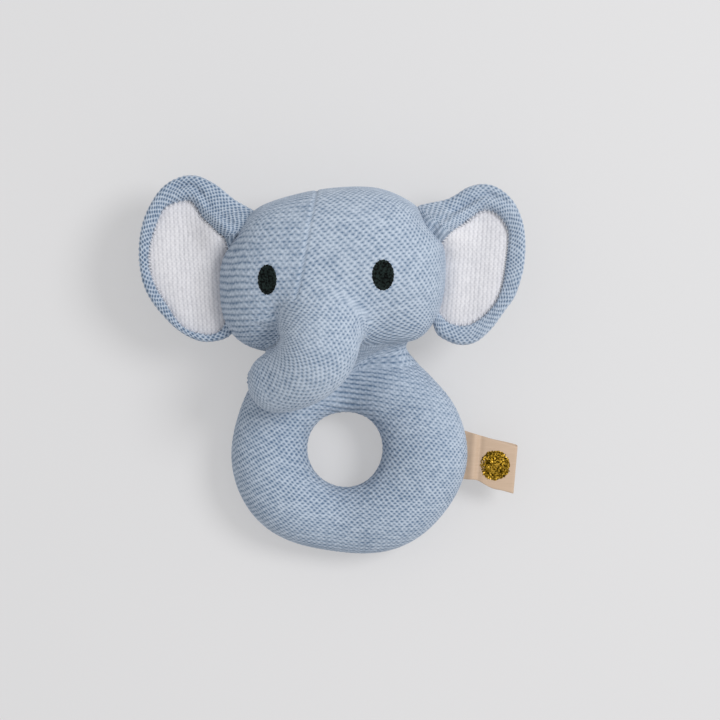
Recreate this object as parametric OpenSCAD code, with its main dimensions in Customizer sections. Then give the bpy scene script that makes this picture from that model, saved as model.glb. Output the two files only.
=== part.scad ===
// Knitted ring rattle with a stuffed elephant head, lying on its back. Millimetres.
// Origin: centre of the finger hole, on the surface that the toy lies on.
// +X to the right as it is looked at, +Y to the crown, +Z out of the face.

/* [Ring] */
// Radius of the finger hole
hole_r = 14.2; // [11:0.1:18]
// Extra radius at the top of the hole, where it runs to a soft point
hole_peak = 1; // [0:0.1:2.5]
// Width of the stuffed tube at its sides
tube_side_w = 29.8; // [24:0.1:34]
// Width of the tube at its narrow place below the hole
tube_bottom_w = 24.6; // [18:0.1:30]
// Width of the tube under the chin
tube_top_w = 22.8; // [18:0.1:30]
// Height of the tube as a share of its width
tube_flatness = 0.9; // [0.7:0.01:1]
// Direction of the narrow place below the hole, in degrees from +X
narrow_angle = 262; // [240:1:290]

/* [Head] */
// Sideways place of the head's centre seam
head_x = -4.8; // [-10:0.1:10]
// Half of the head's width
head_half_w = 42; // [34:0.1:50]
// Height of the crown over the head's middle
head_up = 28.6; // [22:0.1:36]
// Depth of the cheeks below the head's middle
head_down = 32; // [24:0.1:40]
// Fullness of the face in front of the head's middle
head_front = 29; // [22:0.1:36]
// Fullness of the back of the head
head_back = 27; // [20:0.1:34]
// Rise of the cheeks' outline for each millimetre to the right, where the stuffing has slumped
head_slump = 0.09; // [-0.15:0.01:0.15]

/* [Trunk] */
// Radius of the trunk where it leaves the face
trunk_root_r = 14.6; // [10:0.1:17]
// Radius of the trunk at its closed end
trunk_tip_r = 11.5; // [8:0.1:15]
// Height of the trunk's middle over the ring's crest at the closed end
trunk_tip_rise = 14; // [13:0.1:24]

/* [Ears] */
// Reach of an ear beyond the side of the head
ear_reach = 29.5; // [18:0.1:40]
// Height of an ear's top over the head's middle
ear_rise = 32.5; // [27:0.1:42]
// Depth of an ear's bottom below the head's middle
ear_drop = 29.5; // [24:0.1:38]
// Thickness of an ear at its rolled rim
ear_rim_t = 6.4; // [5.4:0.1:9]
// Width of the rim in front of the lining
ear_rim_w = 4.6; // [3.5:0.1:8]
// Lift of an ear's outer edge over its root
ear_lift = 4; // [0:0.1:10]
// Top end of the ear's seam on the head, over the head's middle
ear_seam_top = 21; // [16:0.1:24]
// Bottom end of the ear's seam on the head, below the head's middle
ear_seam_bottom = 22; // [18:0.1:26]

/* [Eyes] */
// Distance between the eyes
eye_spacing = 42.8; // [30:0.1:50]
// Width of an embroidered eye
eye_w = 7.2; // [4:0.1:10]
// Height of an embroidered eye
eye_h = 10.7; // [6:0.1:14]
// Distance of the eyes below the head's middle
eye_drop = 4.6; // [0:0.1:10]
// Thickness of the satin stitch
eye_t = 0.8; // [0.4:0.1:1.5]

/* [Rattle] */
// Outer radius of the rattle case
case_r = 12; // [9:0.1:14]
// Length of the rattle case
case_l = 19; // [16:0.1:26]
// Wall of the rattle case
case_wall = 1.4; // [1:0.1:2]
// Radius of a bead
bead_r = 2; // [1:0.1:2.2]
// Number of beads
bead_count = 4; // [4]

/* [Label] */
// Width of the ribbon
label_w = 18; // [10:0.1:25]
// Length of the folded label from the seam to its fold
label_l = 18.5; // [12:0.1:30]
// Thickness of the satin ribbon
ribbon_t = 0.35; // [0.2:0.05:0.8]
// Height of the ribbon's fold
fold_h = 1.6; // [1.4:0.1:3]
// Direction of the label from the ring's centre, in degrees
label_angle = -7; // [-40:1:30]
// Radius of the glitter spot
spot_r = 5.6; // [3:0.1:8]

/* [Fabric] */
// Thickness of the knitted cover
knit_t = 1.8; // [1.2:0.1:2.2]
// Thickness of the ear's lining
lining_t = 1.2; // [0.8:0.1:1.6]
// Room between a cover and its stuffing
stuffing_gap = 0.3; // [0.2:0.05:0.6]
// Room between the face and the trunk
seam_gap = 0.5; // [0.3:0.05:1]
// Room between the head and an ear
ear_gap = 0.9; // [0.7:0.05:1.5]
// Room between the chin and the ring
neck_gap = 0.7; // [0.6:0.05:1.5]
// Radius of the sewing thread
thread_r = 0.26; // [0.15:0.01:0.3]
// Flattening where the toy rests on its back
rest_press = 0.8; // [0.4:0.1:2]

/* [Hidden] */

knit_blue = [0.62, 0.69, 0.77];
shade_blue = [0.54, 0.62, 0.71];
knit_white = [0.9, 0.9, 0.91];
fibre_white = [0.96, 0.96, 0.94];

// Depth of the groove that a seam pulls into the knitting
groove = 0.9;
// Points round one section of the ring, the head and the trunk
ring_steps = 40;
tube_steps = 20;
head_steps = 32;
trunk_steps = 20;
// Full ends of the superellipses that shape the head
crown_power = 2.2;
cheek_power = 3.3;
depth_power = 2.4;

stuffing_inset = knit_t + stuffing_gap;
head_z = head_back - rest_press;

// ---------- shared shapes ----------

function signed_pow(v, e) = sign(v) * pow(abs(v), e);
function sum(v, i = 0) = i < len(v) - 1 ? v[i] + sum(v, i + 1) : v[i];
function middle(loop) = sum(loop) / len(loop);
function unit(v) = v / norm(v);

// A point on the smooth curve from b to c, with a and d as the points on either side
function on_curve(a, b, c, d, t) =
    ((2 * b) + (c - a) * t + (2 * a - 5 * b + 4 * c - d) * t * t + (3 * b - a - 3 * c + d) * t * t * t) / 2;

// Joins loops with equal numbers of points into a closed solid, with a fan over each end
module loft(loops, flip = false) {
    m = len(loops[0]);
    n = len(loops);
    points = [for (loop = loops) each loop, middle(loops[0]), middle(loops[n - 1])];
    sides = [for (k = [0:n - 2], j = [0:m - 1])
        let (a = k * m + j, b = k * m + (j + 1) % m, c = b + m, d = a + m) each [[a, b, c], [a, c, d]]];
    ends = [for (j = [0:m - 1])
        let (a = (n - 1) * m, k = (j + 1) % m) each [[n * m, k, j], [n * m + 1, a + j, a + k]]];
    faces = concat(sides, ends);
    polyhedron(points, flip ? [for (f = faces) [f[2], f[1], f[0]]] : faces);
}

// Joins sections that run round in a circle into a closed ring
module hoop(sections) {
    m = len(sections[0]);
    n = len(sections);
    polyhedron([for (s = sections) each s], [for (k = [0:n - 1], j = [0:m - 1])
        let (l = (k + 1) % n, i = (j + 1) % m) each [[l * m + i, l * m + j, k * m + j], [k * m + i, l * m + i, k * m + j]]]);
}

// A sock: an outer and an inner skin, open at the first loop and closed at the last
module sock(outside, inside) {
    m = len(outside[0]);
    n = len(outside);
    skins = concat(outside, [for (i = [n - 1:-1:0]) inside[i]]);
    all = [for (loop = skins) each loop, middle(outside[n - 1]), middle(inside[n - 1])];
    function strip(k, l) = [for (j = [0:m - 1]) let (i = (j + 1) % m)
        each [[k * m + j, k * m + i, l * m + i], [k * m + j, l * m + i, l * m + j]]];
    outer_end = [for (j = [0:m - 1]) [2 * n * m, (n - 1) * m + j, (n - 1) * m + (j + 1) % m]];
    inner_end = [for (j = [0:m - 1]) [2 * n * m + 1, n * m + (j + 1) % m, n * m + j]];
    polyhedron(all, concat([for (k = [0:n - 2]) each strip(k, k + 1)], outer_end,
        inner_end, [for (k = [n:2 * n - 2]) each strip(k, k + 1)], strip(2 * n - 1, 0)));
}

// A thread of round section along a path that comes back to its start
module closed_thread(path, r = thread_r, sides = 6) {
    n = len(path);
    hoop([for (k = [0:n - 1])
        let (ahead = unit(path[(k + 1) % n] - path[(k + n - 1) % n]), across = unit(cross(ahead, [0.02, 0.03, 1])),
             up = cross(across, ahead))
        [for (j = [0:sides - 1]) path[k] + r * (across * cos(360 * j / sides) + up * sin(360 * j / sides))]]);
}

// A thread of round section along an open path
module open_thread(path, r = thread_r, sides = 6) {
    n = len(path);
    loft([for (k = [0:n - 1])
        let (ahead = unit(path[min(k + 1, n - 1)] - path[max(k - 1, 0)]), across = unit(cross(ahead, [0.02, 1, 0.03])),
             up = cross(across, ahead))
        [for (j = [0:sides - 1]) path[k] + r * (across * cos(360 * j / sides) + up * sin(360 * j / sides))]]);
}

// ---------- ring ----------

// How narrow the tube is at angle a: 0 at its sides, 1 at its narrowest
function bottom_share(a) = pow(max(0, cos(a - narrow_angle)), 6);
function top_share(a) = pow(max(0, sin(a)), 6);
function tube_half_w(a) = (tube_side_w - bottom_share(a) * (tube_side_w - tube_bottom_w)
    - top_share(a) * (tube_side_w - tube_top_w)) / 2;
function tube_half_h(a) = tube_half_w(a) * tube_flatness;
function tube_z(a) = tube_half_h(a) - rest_press;
function tube_mid_r(a) = hole_r + hole_peak * pow(max(0, sin(a)), 8) + tube_half_w(a);

// A point of the tube's section at angle a round the ring and s round the tube, below the surface by inset
function on_tube(a, s, inset) =
    let (r = tube_mid_r(a) + (tube_half_w(a) - inset) * cos(s), z = tube_z(a) + (tube_half_h(a) - inset) * sin(s))
    [r * cos(a), r * sin(a), max(z, inset)];

// Section of one half of the cover: out over the tube, in at the seam's groove and back inside
function panel_section(a, front) =
    let (way = front ? 1 : -1, lip = 2.5)
    [on_tube(a, way * lip, groove),
     for (i = [1:tube_steps / 2 - 1]) on_tube(a, way * 180 * i / (tube_steps / 2), 0),
     on_tube(a, way * (180 - lip), groove),
     for (i = [tube_steps / 2 - 1:-1:1]) on_tube(a, way * 180 * i / (tube_steps / 2), knit_t)];

module ring_panel(front) {
    order = [for (k = [0:ring_steps - 1]) 360 * k / ring_steps * (front ? 1 : -1)];
    hoop([for (a = order) panel_section(a, front)]);
}

module ring_front_panel() {
    color(knit_blue) ring_panel(true);
}

module ring_back_panel() {
    color(shade_blue) ring_panel(false);
}

module ring_filling() {
    color(fibre_white)
        hoop([for (k = [0:ring_steps - 1]) let (a = 360 * k / ring_steps)
            [for (i = [0:tube_steps - 1]) on_tube(a, 360 * i / tube_steps, stuffing_inset)]]);
}

// The overcast threads that close the cover round its rim and round the hole
module ring_seam_thread() {
    color(shade_blue)
        for (s = [0, 180])
            closed_thread([for (k = [0:ring_steps - 1]) on_tube(360 * k / ring_steps, s, groove - 2 * thread_r)]);
}

// ---------- head ----------

// Share of its full size that the head has at x from the centre seam
function span(x, power, inset) = pow(max(0, 1 - pow(abs(x) / (head_half_w - inset), power)), 1 / power);
function up_at(x, inset) = (head_up - inset) * span(x, crown_power, inset);
function down_at(x, inset) = (head_down - inset) * span(x, cheek_power, inset);
function front_at(x, inset) = (head_front - inset) * span(x, depth_power, inset);
function back_at(x, inset) = (head_back - inset) * span(x, depth_power, inset);

// A point of the head at x from the centre seam and at angle s round it, from the crown over the face
function on_head(x, s, inset) =
    let (y = (cos(s) > 0 ? up_at(x, inset) : down_at(x, inset)) * signed_pow(cos(s), 2 / depth_power),
         z = (sin(s) > 0 ? front_at(x, inset) : back_at(x, inset)) * signed_pow(sin(s), 2 / depth_power))
    [head_x + x, head_y + y + head_slump * x, max(head_z + z, inset)];

// Height of the face over a place given from the head's middle, or 0 beside the head
function face_z(x, y, inset) =
    let (level = y - head_slump * x, half = level > 0 ? up_at(x, inset) : down_at(x, inset),
         share = half > 0 ? abs(level) / half : 1)
    share < 1 ? head_z + front_at(x, inset) * pow(1 - pow(share, depth_power), 1 / depth_power) : 0;

// Distance from the centre seam to the head's side at height y over its middle
function side_reach(side, y, tries = 6) =
    let (x = tries > 0 ? side_reach(side, y, tries - 1) : head_half_w,
         level = y - head_slump * side * x,
         power = level > 0 ? crown_power : cheek_power,
         share = abs(level) / (level > 0 ? head_up : head_down))
    head_half_w * pow(max(0.02, 1 - pow(share, power)), 1 / power);

// The head sits on the ring: its chin clears the tube under it by the neck's gap
chin_samples = [for (x = [-18:3:12], h = [0:0.5:20])
    let (a = atan2(hole_r + tube_top_w, x),
         rise = (h - tube_z(a)) / tube_half_h(a),
         tube_y = sqrt(max(0, pow(tube_mid_r(a) + tube_half_w(a) * sqrt(max(0, 1 - rise * rise)), 2) - x * x)),
         depth = (head_z - h) / back_at(x - head_x, 0),
         chin = down_at(x - head_x, 0) * pow(max(0, 1 - pow(abs(depth), depth_power)), 1 / depth_power))
    if (abs(rise) < 1 && depth < 1 && depth > 0) tube_y + chin - head_slump * (x - head_x)];
head_y = max(chin_samples) + neck_gap;

// Places of the loops from the far side of the head to the centre seam, as shares of its half width
side_stations = [0.997, 0.975, 0.93, 0.86, 0.77, 0.66, 0.54, 0.41, 0.28, 0.15, 0.05];
function head_loop(x, inset) = [for (i = [0:head_steps - 1]) on_head(x, 360 * i / head_steps, inset)];

// One side of the knitted cover, from the centre seam's groove outwards and back inside
module head_panel(side) {
    seam = 0.12;
    outside = [for (share = side_stations) head_loop(side * share * head_half_w, 0)];
    edge = [head_loop(side * 0.9, 0), head_loop(side * seam, groove), head_loop(side * seam, knit_t)];
    inside = [for (i = [len(side_stations) - 1:-1:0])
        head_loop(side * side_stations[i] * (head_half_w - knit_t), knit_t)];
    loft(concat(outside, edge, inside), side < 0);
}

module head_left_panel() {
    color(shade_blue) head_panel(-1);
}

module head_right_panel() {
    color(knit_blue) head_panel(1);
}

module head_seam_thread() {
    color(shade_blue)
        closed_thread([for (i = [0:head_steps - 1]) on_head(0, 360 * i / head_steps, groove - 2 * thread_r)]);
}

// Half of the fibre stuffing, with a pocket for half of the rattle case
module head_filling(side) {
    seam = 0.1;
    pocket_r = case_r + stuffing_gap;
    pocket_x = case_l / 2 + stuffing_gap;
    outside = [for (share = side_stations) head_loop(side * share * (head_half_w - stuffing_inset), stuffing_inset)];
    function pocket(x) = [for (i = [0:head_steps - 1]) let (s = 360 * i / head_steps)
        [head_x + side * x, head_y + pocket_r * cos(s), head_z + pocket_r * sin(s)]];
    loft(concat(outside, [head_loop(side * seam, stuffing_inset), pocket(seam), pocket(pocket_x)]), side < 0);
}

module head_left_filling() {
    color(fibre_white) head_filling(-1);
}

module head_right_filling() {
    color(fibre_white) head_filling(1);
}

// The seam that carries the head: a running thread in the gap between chin and ring
neck_angle = 104;
neck_side = 22;
neck_reach = 14;
module neck_stitching() {
    color(shade_blue) open_thread([for (a = [-1:0.25:1]) on_tube(neck_angle + neck_reach * a, neck_side, -neck_gap / 2)]);
}

// ---------- rattle inside the head ----------

// Overlap of the cap's collar inside the base
collar_l = 3;
fit = 0.05;

module rattle_case_base() {
    color("ivory") translate([head_x - case_l / 2, head_y, head_z]) rotate([0, 90, 0])
        difference() {
            cylinder(h = case_l - case_wall, r = case_r, $fn = 64);
            translate([0, 0, case_wall]) cylinder(h = case_l, r = case_r - case_wall, $fn = 64);
        }
}

module rattle_case_cap() {
    collar_r = case_r - case_wall - fit;
    color("ivory") translate([head_x + case_l / 2 - case_wall, head_y, head_z]) rotate([0, 90, 0])
        difference() {
            union() {
                cylinder(h = case_wall, r = case_r, $fn = 64);
                translate([0, 0, -collar_l]) cylinder(h = collar_l, r = collar_r, $fn = 64);
            }
            translate([0, 0, -collar_l - 1]) cylinder(h = collar_l + 1, r = collar_r - case_wall, $fn = 64);
        }
}

// Beads lie side by side at the bottom of the case, each in a lane of its own
lane = 2 * bead_r + fit;
module rattle_bead(i) {
    x = (i - (bead_count - 1) / 2) * lane * 0.72;
    y = (i % 2 == 0 ? -1 : 1) * lane * 0.36;
    bore_r = case_r - 2 * case_wall - fit;
    z = sqrt(pow(bore_r - bead_r - fit, 2) - y * y);
    color("sandybrown") translate([head_x + x, head_y + y, head_z - z]) sphere(r = bead_r, $fn = 32);
}

// ---------- eyes ----------

module eye(side) {
    x0 = side * eye_spacing / 2 - head_x * 0.15;
    function loop(share, rise) = [for (j = [0:23]) let (s = 360 * j / 24,
            x = x0 + share * eye_w / 2 * cos(s), y = -eye_drop + head_slump * x0 + share * eye_h / 2 * sin(s))
        [head_x + x, head_y + y, face_z(x, y, -rise)]];
    lift = 0.1;
    loft([loop(0.3, lift), loop(0.7, lift), loop(1, lift), loop(1, lift + eye_t * 0.5),
          loop(0.9, lift + eye_t * 0.9), loop(0.6, lift + eye_t), loop(0.3, lift + eye_t)], true);
}

module left_eye() {
    color([0.05, 0.07, 0.06]) eye(-1);
}

module right_eye() {
    color([0.05, 0.07, 0.06]) eye(1);
}

// ---------- trunk ----------

// The trunk's middle line: a smooth curve drawn by four points, from the face to the closed end
trunk_line = [
    [head_x - 4.2, head_y - 22, head_z + 19],
    [head_x - 4.2, head_y - 30, head_z + 26],
    [head_x - 9.5, head_y - 38, head_z + 20],
    [head_x - 19.5, head_y - 43, 2 * tube_half_h(135) - rest_press + trunk_tip_rise]];
function trunk_mid(t) = let (u = 1 - t)
    u * u * u * trunk_line[0] + 3 * u * u * t * trunk_line[1] + 3 * u * t * t * trunk_line[2] + t * t * t * trunk_line[3];
function trunk_ahead(t) = unit(trunk_mid(t + 0.02) - trunk_mid(t - 0.02));
function trunk_across(t) = unit(cross(trunk_ahead(t), [0, 0, 1]));
function trunk_r(t) = trunk_root_r + (trunk_tip_r - trunk_root_r) * t;

// Height of the face under a point of the trunk, off it by a clearance
function under_trunk(p, off) = face_z(p[0] - head_x, p[1] - head_y, -off);

// A loop round the trunk at t along it, pushed out along it by far and kept outside the face
function trunk_loop(t, r, far, off) =
    [for (j = [0:trunk_steps - 1]) let (s = 360 * j / trunk_steps, p = trunk_mid(t) + far * trunk_ahead(t)
            + r * (trunk_across(t) * cos(s) + cross(trunk_across(t), trunk_ahead(t)) * sin(s)))
        [p[0], p[1], max(p[2], under_trunk(p, off))]];

// The loop where the trunk is sewn to the face: it lies on the face, and dips at most this far to meet it
root_dip = 6;
function trunk_root_loop(r, off) =
    [for (p = trunk_loop(0, r, 0, off)) [p[0], p[1], max(p[2] - root_dip, under_trunk(p, off))]];

// Loops from just beyond the root to the closed end, which is a dome
function trunk_skin(inset, off) = concat(
    [for (t = [0.14:0.143:1.01]) trunk_loop(t, trunk_r(t) - inset, 0, off)],
    [for (s = [18:18:72]) trunk_loop(1, (trunk_tip_r - inset) * cos(s), (trunk_tip_r - inset) * sin(s), off)]);

module trunk_cover() {
    outside = concat([trunk_root_loop(trunk_root_r, seam_gap)], trunk_skin(0, seam_gap));
    inside = concat([trunk_root_loop(trunk_root_r - knit_t, seam_gap + knit_t)], trunk_skin(knit_t, seam_gap + knit_t));
    color(knit_blue) sock(outside, inside);
}

// Extra room for the stuffing where the trunk's underside lies along the face
belly_room = 1.8;
module trunk_filling() {
    color(fibre_white) loft(trunk_skin(stuffing_inset + belly_room / 2, seam_gap + stuffing_inset + belly_room));
}

// The thread that draws the end of the trunk together
module trunk_closing_stitch() {
    r = trunk_tip_r + thread_r + 0.1;
    up = cross(trunk_across(1), trunk_ahead(1));
    color(shade_blue)
        open_thread([for (s = [-40:10:40]) trunk_mid(1) + r * (trunk_ahead(1) * cos(s) + up * sin(s))]);
}

// ---------- ears ----------

// A point of the ear's seam beside the head, at height y over the head's middle
function ear_side(side, y) = [side_reach(side, y) + ear_gap - head_half_w, y];

// Outline of an ear from its seam's top end round to the bottom end, then up along the head's side
function ear_outline(side) =
    let (rim = [[0, 0.84 * ear_rise], [0.24 * ear_reach, 0.96 * ear_rise], [0.45 * ear_reach, ear_rise],
                [0.68 * ear_reach, 0.91 * ear_rise], [0.88 * ear_reach, 0.66 * ear_rise], [ear_reach, 0.2 * ear_rise],
                [0.93 * ear_reach, -0.24 * ear_drop], [0.75 * ear_reach, -0.6 * ear_drop],
                [0.5 * ear_reach, -0.86 * ear_drop], [0.22 * ear_reach, -ear_drop], [0, -0.98 * ear_drop]],
         corners = concat([ear_side(side, ear_seam_top)], rim, [ear_side(side, -ear_seam_bottom)]), n = len(corners))
    [for (i = [0:n - 2], t = [0, 0.5])
        on_curve(corners[max(i - 1, 0)], corners[i], corners[i + 1], corners[min(i + 2, n - 1)], t),
     for (i = [0:9]) ear_side(side, -ear_seam_bottom + (ear_seam_bottom + ear_seam_top) * i / 10)];

// Middle of an ear, which its loops shrink towards
ear_middle = [0.45 * ear_reach, 0.05 * ear_rise];

// Height of the ear's middle layer over the surface: it rises to its outer edge
function ear_layer_z(p) = head_z + ear_lift * pow(max(0, p[0]) / ear_reach, 2);

// A loop at distance inset inside the outline, rise above the middle layer
function ear_loop(side, inset, rise) =
    [for (p = ear_outline(side)) let (q = p + unit(ear_middle - p) * inset)
        [head_x + side * (head_half_w + q[0]), head_y + q[1], ear_layer_z(q) + rise]];

// A loop at a share of the way from the outline to the middle
function ear_inner_loop(side, share, rise) =
    [for (p = ear_outline(side)) let (q = p + (ear_middle - p) * share)
        [head_x + side * (head_half_w + q[0]), head_y + q[1], ear_layer_z(q) + rise]];

// Loops round the rolled rim: inset and rise follow a half circle of radius r that starts at depth d
function rim_loops(side, r, d) = [for (s = [-60:30:60]) ear_loop(side, d + r - r * cos(s), r * sin(s))];

ear_half_t = ear_rim_t / 2;
lining_top = ear_half_t - 0.7;
lining_bottom = lining_top - lining_t;
// Room between the rim and the lining
ear_seam_w = 1.4;

module ear_back(side) {
    inner_r = ear_half_t - knit_t;
    outside = concat([ear_inner_loop(side, 0.9, -ear_half_t), ear_inner_loop(side, 0.45, -ear_half_t),
            ear_loop(side, ear_half_t, -ear_half_t)], rim_loops(side, ear_half_t, 0),
        [ear_loop(side, ear_half_t, ear_half_t), ear_loop(side, ear_rim_w, ear_half_t - 0.2)]);
    rolled = rim_loops(side, inner_r, knit_t);
    inside = concat([ear_loop(side, ear_rim_w, inner_r), ear_loop(side, ear_half_t, inner_r)],
        [for (i = [len(rolled) - 1:-1:0]) rolled[i]],
        [ear_loop(side, ear_half_t, -inner_r), ear_inner_loop(side, 0.45, -inner_r),
         ear_inner_loop(side, 0.9, -inner_r)]);
    color(knit_blue) loft(concat(outside, inside), side < 0);
}

module ear_lining(side) {
    edge = ear_rim_w + ear_seam_w;
    color(knit_white)
        loft([ear_inner_loop(side, 0.9, lining_bottom), ear_inner_loop(side, 0.5, lining_bottom),
            ear_loop(side, edge + 0.4, lining_bottom), ear_loop(side, edge, lining_bottom + 0.3),
            ear_loop(side, edge, lining_top - 0.3), ear_loop(side, edge + 0.4, lining_top),
            ear_inner_loop(side, 0.5, lining_top), ear_inner_loop(side, 0.9, lining_top)], side < 0);
}

module ear_padding(side) {
    half = ear_half_t - stuffing_inset;
    top = min(half, lining_bottom - stuffing_gap);
    color(fibre_white)
        loft([ear_inner_loop(side, 0.9, -half), ear_inner_loop(side, 0.45, -half),
            ear_loop(side, stuffing_inset + half, -half), ear_loop(side, stuffing_inset + 0.1, 0),
            ear_loop(side, stuffing_inset + half, top), ear_inner_loop(side, 0.45, top),
            ear_inner_loop(side, 0.9, top)], side < 0);
}

// The thread that holds the lining's edge down beside the rim
module ear_seam(side) {
    color(knit_white) closed_thread(ear_loop(side, ear_rim_w + ear_seam_w, lining_top + thread_r + 0.05));
}

// ---------- label ----------

// Moves its children to the ring's outer seam, with +X pointing away from the hole
module at_label() {
    gap = 0.3;
    translate([on_tube(label_angle, 0, 0)[0], on_tube(label_angle, 0, 0)[1], tube_z(label_angle)])
        rotate([0, 0, label_angle]) translate([gap, 0, 0]) children();
}

// A ribbon doubled back on itself: both ends at the seam, the fold outside
module label_ribbon() {
    bend = fold_h / 2;
    color("tan") at_label() translate([0, label_w / 2, 0]) rotate([90, 0, 0]) linear_extrude(label_w)
        difference() {
            union() {
                translate([0, -bend]) square([label_l - bend, fold_h]);
                translate([label_l - bend, 0]) circle(bend, $fn = 32);
            }
            translate([-1, -bend + ribbon_t]) square([label_l - bend + 1, fold_h - 2 * ribbon_t]);
            translate([label_l - bend, 0]) circle(bend - ribbon_t, $fn = 32);
        }
}

module label_spot() {
    color("goldenrod") at_label()
        translate([label_l * 0.52, 0, fold_h / 2 + 0.02]) cylinder(h = 0.15, r = spot_r, $fn = 48);
}

ring_front_panel();
ring_back_panel();
ring_filling();
ring_seam_thread();
neck_stitching();
head_left_panel();
head_right_panel();
head_seam_thread();
head_left_filling();
head_right_filling();
rattle_case_base();
rattle_case_cap();
for (i = [1:bead_count]) rattle_bead(i - 1);
left_eye();
right_eye();
trunk_cover();
trunk_filling();
trunk_closing_stitch();
ear_back(-1);  // left_ear_back
ear_lining(-1);  // left_ear_lining
ear_padding(-1);  // left_ear_padding
ear_seam(-1);  // left_ear_seam
ear_back(1);  // right_ear_back
ear_lining(1);  // right_ear_lining
ear_padding(1);  // right_ear_padding
ear_seam(1);  // right_ear_seam
label_ribbon();
label_spot();
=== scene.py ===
"""Knitted ring rattle with a stuffed elephant head, lying on its back: the looks of every piece.

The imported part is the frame, in metres: origin at the centre of the finger hole on the surface that the toy
lies on, +X to the right as it is looked at, +Y to the crown, +Z out of the face. Shapes are worked out in
millimetres and turned to metres where a mesh is made."""
import math

import bpy
import numpy as np
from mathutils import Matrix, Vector
from mathutils.bvhtree import BVHTree


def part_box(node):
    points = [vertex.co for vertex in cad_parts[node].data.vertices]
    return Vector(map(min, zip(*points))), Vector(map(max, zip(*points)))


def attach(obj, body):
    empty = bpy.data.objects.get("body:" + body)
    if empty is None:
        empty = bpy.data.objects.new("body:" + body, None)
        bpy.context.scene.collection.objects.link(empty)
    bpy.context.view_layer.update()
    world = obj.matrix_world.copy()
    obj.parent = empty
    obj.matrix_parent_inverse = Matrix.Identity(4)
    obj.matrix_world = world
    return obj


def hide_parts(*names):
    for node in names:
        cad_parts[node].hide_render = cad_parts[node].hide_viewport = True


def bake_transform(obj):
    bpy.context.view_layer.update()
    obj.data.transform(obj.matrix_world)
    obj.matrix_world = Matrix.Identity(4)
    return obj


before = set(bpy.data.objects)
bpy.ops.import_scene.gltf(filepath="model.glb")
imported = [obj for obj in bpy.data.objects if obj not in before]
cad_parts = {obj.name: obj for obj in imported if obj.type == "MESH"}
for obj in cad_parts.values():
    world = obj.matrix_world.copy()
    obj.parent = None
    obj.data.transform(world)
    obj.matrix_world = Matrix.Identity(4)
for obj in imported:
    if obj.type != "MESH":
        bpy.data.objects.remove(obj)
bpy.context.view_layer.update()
MM = 0.001


# ---------- sizes, in millimetres ----------

def edges(node):
    """Lowest and highest corner of a CAD node."""
    low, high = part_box(node)
    return np.array(low) / MM, np.array(high) / MM


ring_high = edges("ring_front_panel")[1]
left_low = edges("head_left_panel")[0]
right_high = edges("head_right_panel")[1]
case_low, case_high = edges("rattle_case_base")
label_low, label_high = edges("label_ribbon")

# How far the toy's weight presses it flat where it lies
REST_PRESS = 0.8
HOLE_R = 14.2
HOLE_PEAK = 1
TUBE_SIDE_W = ring_high[0] - HOLE_R
TUBE_BOTTOM_W = 24.6
TUBE_TOP_W = 22.8
TUBE_FLATNESS = 0.9
NARROW_ANGLE = math.radians(262)

HEAD_X = (left_low[0] + right_high[0]) / 2
HEAD_Y = (case_low[1] + case_high[1]) / 2
HEAD_Z = (case_low[2] + case_high[2]) / 2
HEAD_HALF_W = (right_high[0] - left_low[0]) / 2
HEAD_FRONT = right_high[2] - HEAD_Z
HEAD_BACK = HEAD_Z + REST_PRESS
HEAD_UP = 28.6
HEAD_DOWN = 32.0
HEAD_SLUMP = 0.09
CROWN_POWER = 2.2
CHEEK_POWER = 3.3
DEPTH_POWER = 2.4

TRUNK_ROOT_R = 15.8
TRUNK_TIP_R = 11.9
# The trunk's middle line is a smooth curve drawn by four points, from the face to the closed end
TRUNK_LINE = np.array([
    [HEAD_X - 4.2, HEAD_Y - 22, HEAD_Z + 19],
    [HEAD_X - 2.8, HEAD_Y - 31, HEAD_Z + 25],
    [HEAD_X - 6.7, HEAD_Y - 39.5, HEAD_Z + 20],
    [HEAD_X - 19.5, HEAD_Y - 43, 38.2]])

# Reverse stocking stitch: one stitch is about as wide as its row is high
STITCH_W = 2.1
ROW_H = 2.05
RELIEF = 0.34
# The head's cover is stretched over its stuffing, so fewer of its rows go into a length
HEAD_ROWS = 0.87


# ---------- meshes ----------

def add_object(name, data):
    """An object of its own for a mesh, a lamp or a camera."""
    thing = bpy.data.objects.new(name, data)
    bpy.context.scene.collection.objects.link(thing)
    return thing


def add_mesh(name, points, faces):
    """A mesh object from points in millimetres."""
    mesh = bpy.data.meshes.new(name)
    mesh.from_pydata((np.asarray(points) * MM).tolist(), [], faces)
    mesh.update()
    return add_object(name, mesh)


def grid_faces(rows, columns, closed_rows):
    """Quads between rows of points that run round in columns."""
    last = rows if closed_rows else rows - 1
    faces = []
    for k in range(last):
        here, there = k * columns, (k + 1) % rows * columns
        for j in range(columns):
            i = (j + 1) % columns
            faces.append((here + j, here + i, there + i, there + j))
    return faces


def select_only(*pieces):
    bpy.ops.object.select_all(action="DESELECT")
    for piece in pieces:
        piece.select_set(True)
    bpy.context.view_layer.objects.active = pieces[0]


def face_outwards(piece):
    select_only(piece)
    bpy.ops.object.mode_set(mode="EDIT")
    bpy.ops.mesh.select_all(action="SELECT")
    bpy.ops.mesh.normals_make_consistent(inside=False)
    bpy.ops.object.mode_set(mode="OBJECT")


def closed_tube(name, rings):
    """A piece from rings of points, with a fan over each end."""
    rings = np.asarray(rings)
    rows, columns = rings.shape[:2]
    points = np.vstack([rings.reshape(-1, 3), rings[0].mean(0), rings[-1].mean(0)])
    faces = grid_faces(rows, columns, False)
    first, last = rows * columns, rows * columns + 1
    for j in range(columns):
        i = (j + 1) % columns
        faces.append((first, i, j))
        faces.append((last, (rows - 1) * columns + j, (rows - 1) * columns + i))
    piece = add_mesh(name, points, faces)
    face_outwards(piece)
    return piece


def join(*pieces):
    select_only(*pieces)
    bpy.ops.object.join()
    return pieces[0]


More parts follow.
